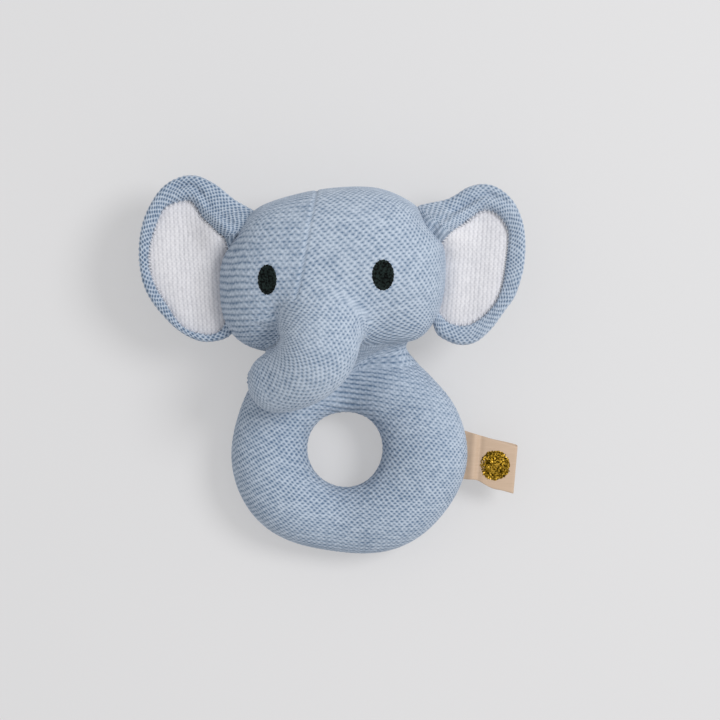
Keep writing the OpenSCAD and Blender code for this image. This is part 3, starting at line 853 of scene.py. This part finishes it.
def trunk_rings():
    """Rings of points down the bridge of the face, along the trunk and over its rounded end."""
    rings = []
    turns = full_turn(40)[:, None]
    # The bridge runs down the face between the eyes and carries the trunk
    top, bend = TRUNK_ROOT + [2.2, 26, -6], TRUNK_ROOT + [0, 9.6, -3.4]
    for q in np.linspace(0, 0.92, 9):
        mid = (1 - q) ** 2 * top + 2 * (1 - q) * q * bend + q ** 2 * TRUNK_ROOT
        ahead = unit((1 - q) * (bend - top) + q * (TRUNK_ROOT - bend))
        across = unit(np.cross(ahead, [0, 0, 1.0]))
        r = 8 + (TRUNK_ROOT_R - 8 - HEAD_INSET) * q ** 0.7
        rings.append(mid + r * hoop(turns, across, np.cross(across, ahead)))
    for t in np.linspace(0, 1, 20):
        ahead, across, up = trunk_frame(t)
        rings.append(trunk_mid(t) + (trunk_r(t) - HEAD_INSET) * hoop(turns, across, up))
    ahead, across, up = trunk_frame(1.0)
    for dome in np.radians(np.arange(12, 84, 12)):
        way = np.sin(dome) * ahead + np.cos(dome) * hoop(turns, across, up)
        rings.append(trunk_mid(1.0) + (TRUNK_TIP_R - HEAD_INSET) * way)
    return rings


def trunk_stitches(points, t, beyond, away, turn):
    """Stitch and row numbers on the trunk, and the length along it. Its rows run square to its line as it is
    looked at, and begin as the face's rows run on."""
    level_ahead = unit(trunk_frame(t)[0][:, :2])
    off = points[:, :2] - trunk_mid(t)[:, :2]
    onward = (off * level_ahead).sum(-1)
    onward = np.where((t == 1) & (beyond > 0), TRUNK_TIP_R * np.arctan2(beyond, away), onward)
    length = np.interp(t, TRUNK_STEPS, lengths_along(trunk_mid(TRUNK_STEPS)[:, :2])) + onward
    sideways = off[:, 1] * level_ahead[:, 0] - off[:, 0] * level_ahead[:, 1]
    sideways += ramp(length, -8, 6) * (turn * trunk_r(t) - sideways)
    root_u, root_v, _ = head_stitches(TRUNK_ROOT[None])
    u = root_u + sideways / STITCH_W
    v = root_v - length * (1 + 0.003 * sideways) / ROW_H
    return u, v, length


def knit_head(cover):
    """Raises the head's and the trunk's stitches, which meet where the trunk leaves the face."""
    points = points_of(cover)
    u, v, seam_off = head_stitches(points)
    t, beyond, away, turn = along_trunk(points)
    trunk_u, trunk_v, length = trunk_stitches(points, t, beyond, away, turn)
    clear = 1.05 + 0.1 * ramp(np.sin(turn), 0, 0.8)
    on_trunk = ramp(length, -14, -4) * ramp(head_fullness(points), 1.0, clear) * ramp(away, 24, 19)
    u = u + on_trunk * (trunk_u - u)
    v = v + on_trunk * (trunk_v - v)
    sunk = 0.45 * bell(seam_off, 0.7) * ramp(length, -6, -14)
    # The left panel is knitted more loosely. Rows stand up in ribs on it and towards the left ear, and the
    # stitches open over the cheeks
    left = ramp(seam_off, 0, -2)
    leftwards, upwards = HEAD_X - points[:, 0], points[:, 1] - HEAD_Y
    rib = 0.3 * left + 0.5 * ramp(leftwards, 24, 36) + 0.4 * ramp(upwards, 16, 24) * left
    gap = 0.34 + 0.2 * left + 0.5 * ramp(-upwards, 14, 28)
    depth = RELIEF * (0.8 + 0.35 * left + 0.3 * ramp(-upwards, 12, 28))
    knit(cover, u, v, rib * (1 - on_trunk), gap + on_trunk * (0.3 - gap), depth * (1 + 0.3 * on_trunk), sunk)


# The head's shell and the trunk become one skin in cells of this size, which is drawn smooth in rounds
SKIN_CELL = 1.45
SKIN_ROUNDS = 52


def make_head_cover():
    """Head and trunk are one skin, as the trunk grows out of the face. Returns that skin without stitches."""
    shares = np.sin(np.linspace(-0.5, 0.5, 49) * np.pi * 0.998)
    skull = closed_tube("head_cover", [
        on_head(share * (HEAD_HALF_W - HEAD_INSET), full_turn(72), HEAD_INSET) for share in shares])
    cover = join(skull, closed_tube("trunk", trunk_rings()))
    apply_modifier(cover, "REMESH", mode="VOXEL", voxel_size=SKIN_CELL * MM)
    points = points_of(cover)
    t, _, away, turn = along_trunk(points)
    # The skin runs smoothly from face to trunk above and on the right, and keeps its crease on the left
    near = bell(np.maximum(0, 30 * (head_fullness(points) - 1)) + np.maximum(0, away - trunk_r(t)), 9)
    soft = 0.03 + 0.97 * ramp(np.sin(turn + 1.0), -0.2, 0.5)
    relax(cover, 0.05 + 0.55 * near * soft, SKIN_ROUNDS)
    seam_off = head_stitches(points_of(cover))[2]
    stuff(cover, np.abs(seam_off) < 0.9, PRESSURE, 0.7)
    subdivide(cover, 2)
    skin = BVHTree.FromPolygons([point.co for point in cover.data.vertices],
                                [face.vertices for face in cover.data.polygons])
    knit_head(cover)
    cover.data.materials.append(blue_knit)
    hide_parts("head_left_panel", "head_right_panel", "head_left_filling", "head_right_filling",
                "trunk_cover", "trunk_filling")
    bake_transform(cover)
    return skin


head_skin = make_head_cover()


def skin_height(x, y):
    """Height of the head's skin under a place, before its stitches were raised."""
    hit = head_skin.ray_cast(Vector((x, y, 200)) * MM, Vector((0, 0, -1)))[0]
    return hit.z / MM


# ---------- neck ----------

NECK_X, NECK_Z = -1, 17
NECK_TURNS = full_turn(96) - np.pi / 2
# The collar's rows are stretched to this height
NECK_ROW_H = 2.4
# Further from the neck's middle than any of its skin
NECK_BEYOND = 50.0
# Head and ring are taken to end this far above the table
NECK_CLEAR = 0.3


def in_head(points):
    return (head_fullness(points) < 1) & (points[:, 2] > NECK_CLEAR)


def in_ring(points):
    x, y, z = points.T
    a = np.arctan2(y, x)
    half_w = tube_half_w(a)
    off = np.hypot((np.hypot(x, y) - tube_mid_r(a)) / half_w, (z - tube_mid_z(a)) / (half_w * TUBE_FLATNESS))
    return (off < 1) & (z > NECK_CLEAR)


def neck_reach(inside, y):
    """Distance from the neck's middle to the skin of head or ring, in every direction, at the heights y. It
    is found by halving the span between a place inside and one outside."""
    low, high = np.zeros(len(NECK_TURNS)), np.full(len(NECK_TURNS), NECK_BEYOND)
    for _ in range(20):
        mid = (low + high) / 2
        full = inside(np.stack([NECK_X + mid * np.cos(NECK_TURNS), y, NECK_Z + mid * np.sin(NECK_TURNS)], 1))
        low, high = np.where(full, mid, low), np.where(full, high, mid)
    return low


def make_neck():
    """The collar where the head's cover is drawn in and sewn to the ring. It leaves both skins along their
    own slopes, and its two ends are hidden inside them."""
    front = np.maximum(0, np.sin(NECK_TURNS))
    # It reaches further into the head and into the ring in front than behind
    y_head = HEAD_Y - 23.5 + 4.5 * front
    y_ring = 31 - 5 * front
    length = y_head - y_ring
    head_r, ring_r = neck_reach(in_head, y_head), neck_reach(in_ring, y_ring)
    head_slope = np.clip(neck_reach(in_head, y_head + 1) - head_r, -1, 1) * length
    ring_slope = np.clip(ring_r - neck_reach(in_ring, y_ring - 1), -0.8, 0.8) * length
    hem = head_r * np.array([np.cos(NECK_TURNS), np.sin(NECK_TURNS)])
    along = np.cumsum(np.hypot(*np.diff(hem, prepend=0)))
    rings = []
    # From the ring's skin at 0 to the head's at 1, and on inside both
    for q in np.concatenate([[-0.3, -0.12], np.linspace(0, 1, 13), [1.12, 1.3]]):
        t = np.clip(q, 0, 1)
        r = ((1 - t) ** 2 * (1 + 2 * t) * ring_r + t ** 2 * (3 - 2 * t) * head_r
             + t * (1 - t) ** 2 * ring_slope - t ** 2 * (1 - t) * head_slope)
        # It sinks a little under both skins, and its hidden ends draw in
        r = r - 0.3 - 14 * np.abs(q - t)
        y = y_ring + q * length
        z = np.maximum(NECK_Z + r * np.sin(NECK_TURNS), 0.15)
        rings.append(np.stack([NECK_X + r * np.cos(NECK_TURNS), y, z], 1))
    up = np.cumsum(np.linalg.norm(np.diff(rings, axis=0, prepend=rings[:1]), axis=2), axis=0)
    neck = closed_tube("neck_collar", rings)
    keep_plan(neck, [np.stack([along / STITCH_W, rise / NECK_ROW_H, 0 * rise], 1) for rise in up - up[2]])
    subdivide(neck, 2)
    knit(neck, *take_plan(neck), 0.45, 0.7)
    neck.data.materials.append(blue_knit)
    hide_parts("neck_stitching")
    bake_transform(neck)


make_neck()


# ---------- ears ----------

# Outlines from the head's middle, outwards and upwards, as the ears lie
EAR_MIDDLE = np.array([54, 2])
EAR_OUTLINES = {
    "left": [(25, 17.6), (34.5, 23), (38, 25.5), (41.8, 28.6), (45.5, 30.8), (49, 32.3), (52.5, 32.7),
             (56, 32), (60, 30), (63.5, 26.8), (66.5, 22), (69, 16.5), (70.4, 10), (70.8, 3), (70.2, -3),
             (68.8, -8.5), (66, -14), (61.5, -19.6), (57, -24), (52.5, -26.8), (48, -28.4), (43.8, -28.4),
             (39.6, -27.4), (36.5, -25), (35, -20)],
    "right": [(31.2, 21.6), (36.2, 22.8), (41.4, 23.9), (45, 25.6), (48.8, 28), (52.5, 29.2), (56.2, 29.4),
              (60, 28.3), (63.5, 25.8), (66.4, 22.5), (68.6, 18), (70, 12.5), (70.4, 6), (70, 0), (69, -5),
              (66.6, -12), (63, -17), (59.6, -22), (56, -26), (52.5, -28.6), (48.8, -29.7), (45, -29.4),
              (41.4, -27.9), (38, -25.5), (36, -20)]}
EAR_ROOTS = {
    "left": [(34.5, -15), (35.5, -5), (35.5, 4), (31, 11), (24.5, 15.5)],
    "right": [(33.5, -15), (35, -5), (36.8, 3.5), (37.2, 8), (33.6, 12.5), (32, 17), (30.6, 20.2)]}
LINING_OUTLINES = {
    "left": [(39.3, 9), (41.8, 11.1), (44.8, 14.1), (47.7, 17), (50, 21), (52.4, 23.2), (55.5, 23),
             (59.2, 21.8), (61.8, 20), (64, 15.5), (66, 9.6), (67.1, 3.7), (66.9, -1.5), (65.5, -6.7),
             (63.2, -11), (60.3, -15.5), (57.2, -20.5), (53.7, -23.7), (49.2, -25.3), (44.8, -25.8),
             (41.2, -24.3), (38.4, -19), (38.2, -13), (38.4, -6), (38.4, 0), (38, 4.4)],
    "right": [(39.6, 7.4), (43.7, 11.5), (48, 14.8), (51.6, 17.6), (54, 19.3), (56.4, 19.7), (59.4, 18.8),
              (62.3, 15.9), (64.2, 11.5), (64, 6.3), (63.3, 1), (62.6, -4.5), (61.6, -9.5), (59.7, -14),
              (56.4, -18), (52.6, -21), (48.8, -22.5), (44.6, -22.2), (41.4, -20.6), (38.6, -17), (38.4, -12),
              (38.6, -6), (38.6, -2), (38.2, 3.3)]}
# Each ring of points starts behind the head, where its ends are hidden
EAR_TURNS = full_turn(144) - np.pi
EAR_WAYS = np.stack([np.cos(EAR_TURNS), np.sin(EAR_TURNS)], -1)
# Radius of the rolled rim, and how far the ear's outer edge stands above its root
RIM_T = 3.2
EAR_LIFT = 4
# The ears' backs are knitted a little finer than the rest
EAR_STRETCH = 0.95
EAR_SIDES = {"left": -1, "right": 1}
FOLD_HEIGHTS = {"left": 7, "right": 8.5}
# How far the stitches of each ear's back stand open. Wider gaps show more of the holes' painted shade, so the
# left ear is painted darker and the right one lighter, as the light falls from the right
EAR_GAPS_AND_SHADE = {"left": 1.0, "right": 0.6}


def reach_at(outline, turns):
    """Distance from the ear's middle to its outline in each direction."""
    off = through(outline, 6) - EAR_MIDDLE
    turn = np.arctan2(off[:, 1], off[:, 0])
    order = np.argsort(turn)
    return np.interp(turns, turn[order], np.hypot(*off[order].T), period=2 * np.pi)


def ear_edges(side):
    """Distance from the ear's middle to its outer edge and to the edge of its lining, in each direction."""
    outer = reach_at(EAR_OUTLINES[side] + EAR_ROOTS[side], EAR_TURNS)
    return outer, np.minimum(reach_at(LINING_OUTLINES[side], EAR_TURNS), outer - 2)


def ear_fold(side, u, v):
    """Height of the fold in which the ear's upper corner laps forward over the side of the head."""
    return FOLD_HEIGHTS[side] * ramp(v, 0, 12) * ramp(u, 56, 38) * (1 - 0.85 * ramp(v, 14, 22))


def place_ear(side, flat, rise):
    """Points of an ear from its flat plan and their height over its middle layer, which lifts outwards."""
    u, v = flat[..., 0], flat[..., 1]
    rise = rise + ear_fold(side, u, v) * ramp(rise, -1, 1)
    z = HEAD_Z + EAR_LIFT * (np.maximum(0, u - HEAD_HALF_W) / 29.5) ** 2 + rise
    return np.stack([HEAD_X + EAR_SIDES[side] * u, HEAD_Y + v, z + 0 * u], -1)


def ear_hinge(piece):
    """Bakes the ear piece's placing into its points."""
    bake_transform(piece)


def make_ear_back(side):
    """The blue back of the ear, rolled over to a rim in front, and folded double where it meets the crown."""
    outer, lining = ear_edges(side)
    width = outer - lining
    # A whole number of stitches goes round the rim
    along = lengths_along(EAR_MIDDLE + outer[:, None] * EAR_WAYS)
    along *= round(along[-1] / (STITCH_W * EAR_STRETCH)) * EAR_STRETCH / along[-1]
    rings, plan = [], []

    def add_ring(reach, rise, cloth):
        """A ring of the back, whose stitches lie level, or of the rim, whose stitches run round with it. cloth
        is the length of cloth from the rim's start up to this ring."""
        flat = EAR_MIDDLE + reach[:, None] * EAR_WAYS
        rings.append(place_ear(side, flat, rise))
        if cloth is None:
            plan.append(np.stack([flat[:, 0] / STITCH_W, flat[:, 1] / ROW_H, 0 * reach], 1))
        else:
            plan.append(np.stack([along, cloth / ROW_H + 0 * reach, 0 * reach], 1))

    for share in (0.04, 0.2, 0.36, 0.52, 0.66, 0.78, 0.88, 0.98):
        add_ring(share * (outer - RIM_T), -RIM_T - 1.2 * (1 - share ** 3), None)
    add_ring(outer - RIM_T, -RIM_T + 0.35, None)
    add_ring(outer - RIM_T + 0.06, -RIM_T + 0.35, 0.0)
    for s in np.radians(np.arange(-75, 1, 18.75)):
        add_ring(outer - RIM_T + RIM_T * np.cos(s), RIM_T * np.sin(s), RIM_T * (s + np.pi / 2))
    half_round = RIM_T * np.pi / 2
    for q in (1 - np.cos(np.linspace(0, np.pi, 15))[1:]) / 2:
        # The rim's strip runs on down to the head as a fold, with a crease beside it
        from_lining = (1 - q) * width
        crease = 2.4 * bell(from_lining - 5.6, 0.6) * ramp(width, 7, 9.5)
        strip = 1.1 * ramp(width, 7, 10) * bell(from_lining - 3.2, 1.7)
        full = (1 - np.abs(2 * q - 1) ** 2.6) ** 0.45
        add_ring(outer - q * width, (RIM_T + 0.06 * (width - 4)) * full + strip - crease,
                 half_round + q * width * 1.1)
    # The rim is tucked in under the lining
    for reach, rise in ((lining - 0.4, -1.4), (0.8 * lining, -1.8)):
        add_ring(reach, rise, half_round + width * 1.1 + 1.5)
    back = closed_tube(f"{side}_ear_cover", rings)
    # The inner edge of the rim is held, with what is tucked in
    held = np.arange(len(back.data.vertices)) >= (len(rings) - 4) * len(EAR_TURNS)
    stuff(back, held, PRESSURE, 0.3)
    keep_plan(back, plan)
    subdivide(back, 2)
    u, v = take_plan(back)
    # Its gap paints the left ear's back darker and the right one lighter: painted shade and light
    knit(back, u / EAR_STRETCH, v / EAR_STRETCH, 0.0, EAR_GAPS_AND_SHADE[side], 1.15 * RELIEF)
    back.data.materials.append(blue_knit)
    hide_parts(f"{side}_ear_back", f"{side}_ear_padding")
    ear_hinge(back)


def make_ear_lining(side):
    """The white lining: a soft panel set into the rim, fuller beside the head."""
    edge = ear_edges(side)[1] + 0.9
    # The panel's edge is held under the rim, and its face swells from there to the middle
    under = [(0.5, -1.2), (0.9, -1.2), (1, -0.8), (1.02, -0.2)]
    face = [(share, -0.2 + 2.4 * (1 - share ** 5) ** 0.8)
            for share in (0.99, 0.96, 0.92, 0.86, 0.78, 0.68, 0.56, 0.42, 0.28, 0.14, 0.04)]
    rings = []
    for share, rise in under + face:
        flat = EAR_MIDDLE + share * edge[:, None] * EAR_WAYS
        fuller = 1.6 * bell(flat[:, 0] - 44.5, 4) * bell(flat[:, 1] + 6, 17) * (rise > 0)
        hollow = 0.8 * bell(flat[:, 0] - 57, 8) * bell(flat[:, 1] - 14, 8) * (rise > 0)
        rings.append(place_ear(side, flat, rise + fuller - hollow))
    panel = closed_tube(f"{side}_ear_panel", rings)
    held = np.arange(len(panel.data.vertices)) < len(under) * len(EAR_TURNS)
    stuff(panel, held, 10, 0.4)
    subdivide(panel, 1)
    # Its rows stand upright, and its stitches are finer than the blue ones
    x, y = points_of(panel)[:, :2].T
    knit(panel, y / 1.7, EAR_SIDES[side] * x / 1.6 - 0.04 * y, 0.55, 0.45, depth=0.22)
    panel.data.materials.append(white_knit)
    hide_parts(f"{side}_ear_lining")
    ear_hinge(panel)


def make_ear_stitching(side):
    """Small overcast stitches that hold the lining under the rim."""
    paths = []
    for edge, way in list(zip(ear_edges(side)[1], EAR_WAYS))[::2]:
        lean = 0.35 * np.array([-way[1], way[0]])
        flat = np.array([EAR_MIDDLE + (edge + r) * way + r * lean for r in (-0.9, -0.5, 0, 0.5, 0.9)])
        paths.append(place_ear(side, flat, np.array([0.9, 1.35, 1.2, 1.0, 0.7])))
    threads = lay_threads(f"{side}_ear_stitches", paths, 0.2, white_thread)
    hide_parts(f"{side}_ear_seam")
    ear_hinge(threads)


for side in EAR_SIDES:
    make_ear_back(side)
    make_ear_lining(side)
    make_ear_stitching(side)


# ---------- eyes ----------

# The middle of each eye, half its width and half its height
EYE_PLACES = {"left": (-27.9, 61.6, 3.4, 5.4), "right": (13.4, 63.2, 3.95, 5.5)}
# Stitches in the outline of an eye, and how far apart the rows of its filling lie
EYE_STITCHES = 31
EYE_ROW = 0.62


def make_eye(side):
    """Satin stitch: an oval filled across, inside a raised outline of close stitches."""
    x0, y0, half_w, half_h = EYE_PLACES[side]
    turns = full_turn(96)
    rings = []
    for share in (0.04, 0.2, 0.4, 0.55, 0.66, 0.72, 0.78, 0.85, 0.92, 0.98, 1.0, 0.97):
        ragged = 1 + (0.03 * np.sin(EYE_STITCHES * turns) + 0.02 * np.sin(17 * turns + 1)) * ramp(share, 0.9, 1)
        x = x0 + share * ragged * half_w * np.cos(turns)
        y = y0 + share * ragged * half_h * np.sin(turns)
        fill = 0.42 + 0.1 * np.cos(2 * np.pi * (y + 0.3 * x) / EYE_ROW) * (share < 0.7)
        outline = 0.4 * bell(share - 0.85, 0.11) * (1 + 0.18 * np.sin(EYE_STITCHES * turns))
        rise = fill * (1 - share ** 6) + outline
        z = np.array([skin_height(a, b) for a, b in zip(x, y)])
        rings.append(np.stack([x, y, z + rise], -1))
    under = rings[-1] - [0, 0, 0.5]
    inner = (under + under.mean(0)) / 2 - [0, 0, 0.3]
    eye = closed_tube(f"{side}_eye_embroidery", rings + [under, inner])
    subdivide(eye, 1)
    bpy.ops.object.shade_smooth()
    eye.data.materials.append(eye_thread)
    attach(eye, "head")
    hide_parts(f"{side}_eye")


for side in EAR_SIDES:
    make_eye(side)


# ---------- seams ----------

def make_ring_stitches():
    """Overcast threads that close the ring's cover round its rim and round the hole."""
    half_reach = 0.9
    paths = []
    # Where each seam runs on the tube, and how many stitches it has
    for s, count in ((0.0, 110), (math.pi, 36)):
        for a in full_turn(count):
            slant = half_reach / (tube_mid_r(a) + math.cos(s) * tube_half_w(a))
            paths.append([on_tube(a + slant * t, s + 0.09 * t, 0.75 - 0.35 * (1 - t * t))
                          for t in np.linspace(-1, 1, 5)])
    threads = lay_threads("ring_stitches", paths, 0.24, blue_thread)
    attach(threads, "ring")
    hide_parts("ring_seam_thread")


def make_head_stitches():
    """Running stitches sunk in the seam between the head's two panels, over the crown and down the back."""
    outside, sunk, pitch, stitch = 60, 0.55, 2.4, 1.5
    places = []
    for s in np.radians(np.arange(-68, 62, 0.5)):
        way = np.array([0, math.cos(s + math.radians(4)), math.sin(s + math.radians(4))])
        far = np.array([HEAD_X, HEAD_Y, HEAD_Z]) + outside * way
        far[0] += ramp(s, -0.2, 0.35) * (seam_x(HEAD_Y + 30 * way[1]) - HEAD_X)
        hit = head_skin.ray_cast(Vector(far) * MM, Vector(-way))[0]
        # None lies under the toy, where its weight presses it flat
        if hit is not None and hit.z > 1 * MM:
            places.append(np.array(hit) / MM - sunk * way)
    line = np.array(places)
    run = lengths_along(line)
    paths = []
    for start in np.arange(1, run[-1] - 2, pitch):
        at = start + np.linspace(0, stitch, 5)
        paths.append(np.stack([np.interp(at, run, line[:, axis]) for axis in range(3)], 1))
    threads = lay_threads("head_stitches", paths, 0.2, blue_thread)
    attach(threads, "head")
    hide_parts("head_seam_thread")


def make_trunk_stitches():
    """Overcast stitches that close the trunk's end, seen along its outer edge."""
    ahead, across, up = trunk_frame(1.0)
    outside = 40
    paths = []
    for turn in np.radians(np.arange(-75, 80, 13)):
        # Round the end, from the ring side over the tip to the front
        middle = np.radians(52) + 0.06 * np.cos(3 * turn)
        path = []
        for t in np.linspace(-1, 1, 5):
            dome = middle + 0.07 * t
            away = unit(np.sin(dome) * ahead + np.cos(dome) * hoop(turn, across, up))
            start = trunk_mid(1.0) + outside * away
            hit = head_skin.ray_cast(Vector(start) * MM, Vector(-away))[0]
            path.append(np.array(hit) / MM + (0.25 - 0.55 * t * t) * away + 0.35 * t * np.cross(away, ahead))
        paths.append(path)
    threads = lay_threads("trunk_stitches", paths, 0.24, blue_thread)
    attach(threads, "trunk")
    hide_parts("trunk_closing_stitch")


make_ring_stitches()
make_head_stitches()
make_trunk_stitches()


# ---------- label ----------

# Upper and lower edge of the folded ribbon, from inside the ring's seam to its fold
LABEL_UPPER = np.array([[43.7, 6.8], [63.8, 0.7]])
LABEL_LOWER = np.array([[42.6, -11.0], [62.2, -16.8]])
LABEL_Z = (label_low[2] + label_high[2]) / 2 + 0.45
# The share of its length at which the ribbon turns over into its fold, and its thickness, drawn a little full
LABEL_FOLD = 0.975
RIBBON_T = 0.28


def label_rise(p):
    """The ribbon springs up where it leaves the seam, and dips at a soft crease behind that."""
    return 0.7 * bell(p - 0.2, 0.08) - 0.5 * bell(p - 0.32, 0.05) + 0.6 * np.sin(np.pi * np.clip(p, 0, 1))


def on_label(p, w, under):
    """A point of the ribbon at p from seam to fold and w across it, on its upper or its under layer."""
    upper = LABEL_UPPER[0] + p * (LABEL_UPPER[1] - LABEL_UPPER[0])
    lower = LABEL_LOWER[0] + p * (LABEL_LOWER[1] - LABEL_LOWER[0])
    lower = lower + [0, 1.0 * bell(p - 0.3, 0.15) - 0.35 * bell(p - 0.62, 0.12)]
    x, y = upper + w * (lower - upper)
    # The layers part a little towards the fold, where the under layer shows along the upper edge
    y += 0.6 * under * ramp(p, 0.45, 0.95) * (1 - w)
    return np.array([x, y, LABEL_Z + label_rise(p) - under * (0.5 + 0.6 * ramp(p, 0.2, 0.8))])


def make_label():
    """Satin ribbon, folded at its outer end and caught in the ring's seam."""
    widths = np.linspace(0, 1, 21)
    lengths = np.linspace(0, LABEL_FOLD, 30)
    rows = [[on_label(p, w, 0) for w in widths] for p in lengths]
    for turn in np.linspace(0.2, 0.8, 4) * np.pi:
        out = np.array([0.5, -0.15, 0]) * math.sin(turn)
        row = []
        for w in widths:
            top, bottom = on_label(LABEL_FOLD, w, 0), on_label(LABEL_FOLD, w, 1)
            row.append(top + (1 - math.cos(turn)) / 2 * (bottom - top) + out)
        rows.append(row)
    rows += [[on_label(p, w, 1) for w in widths] for p in lengths[::-1]]
    points = np.array(rows)
    count, wide = points.shape[:2]
    faces = [(k * wide + j, k * wide + j + 1, (k + 1) * wide + j + 1, (k + 1) * wide + j)
             for k in range(count - 1) for j in range(wide - 1)]
    ribbon = add_mesh("label_satin", points.reshape(-1, 3), faces)
    apply_modifier(ribbon, "SOLIDIFY", thickness=RIBBON_T * MM, offset=0)
    subdivide(ribbon, 1)
    face_outwards(ribbon)
    bpy.ops.object.shade_smooth()
    ribbon.data.materials.append(satin_ribbon)
    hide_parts("label_ribbon")
    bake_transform(ribbon)


def make_glitter():
    """A plain round spot of glitter: flakes of foil set in a film of glue, each at its own tilt."""
    chance = np.random.default_rng(7)
    middle, radius, pitch = np.array([55.4, -6.2]), 5.7, 0.5
    seam_end = LABEL_UPPER[0][0]
    label_w = LABEL_UPPER[1][0] - seam_end

    def surface(x, y):
        return LABEL_Z + label_rise((x - seam_end + 0.04 * (7 - y)) / label_w) + 0.14

    turns = full_turn(48)
    rings = []
    # How far out each ring of the film lies, and its height over the ribbon
    for share, rise in ((0.05, 0.05), (0.35, 0.05), (0.65, 0.05), (0.9, 0.05), (0.97, -0.02), (0.9, -0.12),
                        (0.3, -0.12)):
        edge = share * radius * (1 + 0.03 * np.sin(7 * turns) + 0.03 * np.sin(12 * turns + 2))
        x, y = middle[0] + edge * np.cos(turns), middle[1] + edge * np.sin(turns)
        rings.append(np.stack([x, y, surface(x, y) + rise], 1))
    glue = closed_tube("label_glitter", rings)
    points, faces = [], []
    sides, half_t = 6, 0.03
    # The flakes lie in rows that are offset by half a pitch, a little closer than they are apart in a row
    for j, y in enumerate(np.arange(-radius, radius, 0.87 * pitch)):
        for x in np.arange(-radius, radius, pitch) + pitch / 2 * (j % 2):
            x1, y1 = np.array([x, y]) + chance.uniform(-0.16, 0.16, 2)
            if math.hypot(x1, y1) > radius - chance.uniform(0, 0.5):
                continue
            tilt = unit(np.array([*chance.normal(0, 0.3, 2), 1.0]))
            side = unit(np.cross([math.cos(1.7 * j + x), math.sin(1.7 * j + x), 0.2], tilt))
            size = chance.uniform(0.24, 0.34)
            rim = size * hoop(full_turn(sides)[:, None], side, np.cross(tilt, side))
            flake_x, flake_y = middle + [x1, y1]
            at = np.array([flake_x, flake_y, surface(flake_x, flake_y) + chance.uniform(0.1, 0.22)])
            start = len(points)
            points += list(at + rim + half_t * tilt) + list(at + rim - half_t * tilt)
            faces.append(tuple(start + i for i in range(sides)))
            faces.append(tuple(start + sides + i for i in reversed(range(sides))))
            faces += [tuple(start + i for i in face) for face in grid_faces(2, sides, False)]
    spot = join(glue, add_mesh("flakes", points, faces))
    face_outwards(spot)
    spot.data.materials.append(gold_glitter)
    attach(spot, "label")
    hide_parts("label_spot")


make_glitter()
make_label()


# ---------- rattle case and beads ----------

for node_name, plastic in [("rattle_case_base", case_plastic), ("rattle_case_cap", case_plastic)] + [
        (f"rattle_bead_{k}", bead_plastic) for k in range(1, 5)]:
    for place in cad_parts[node_name].material_slots:
        place.material = plastic
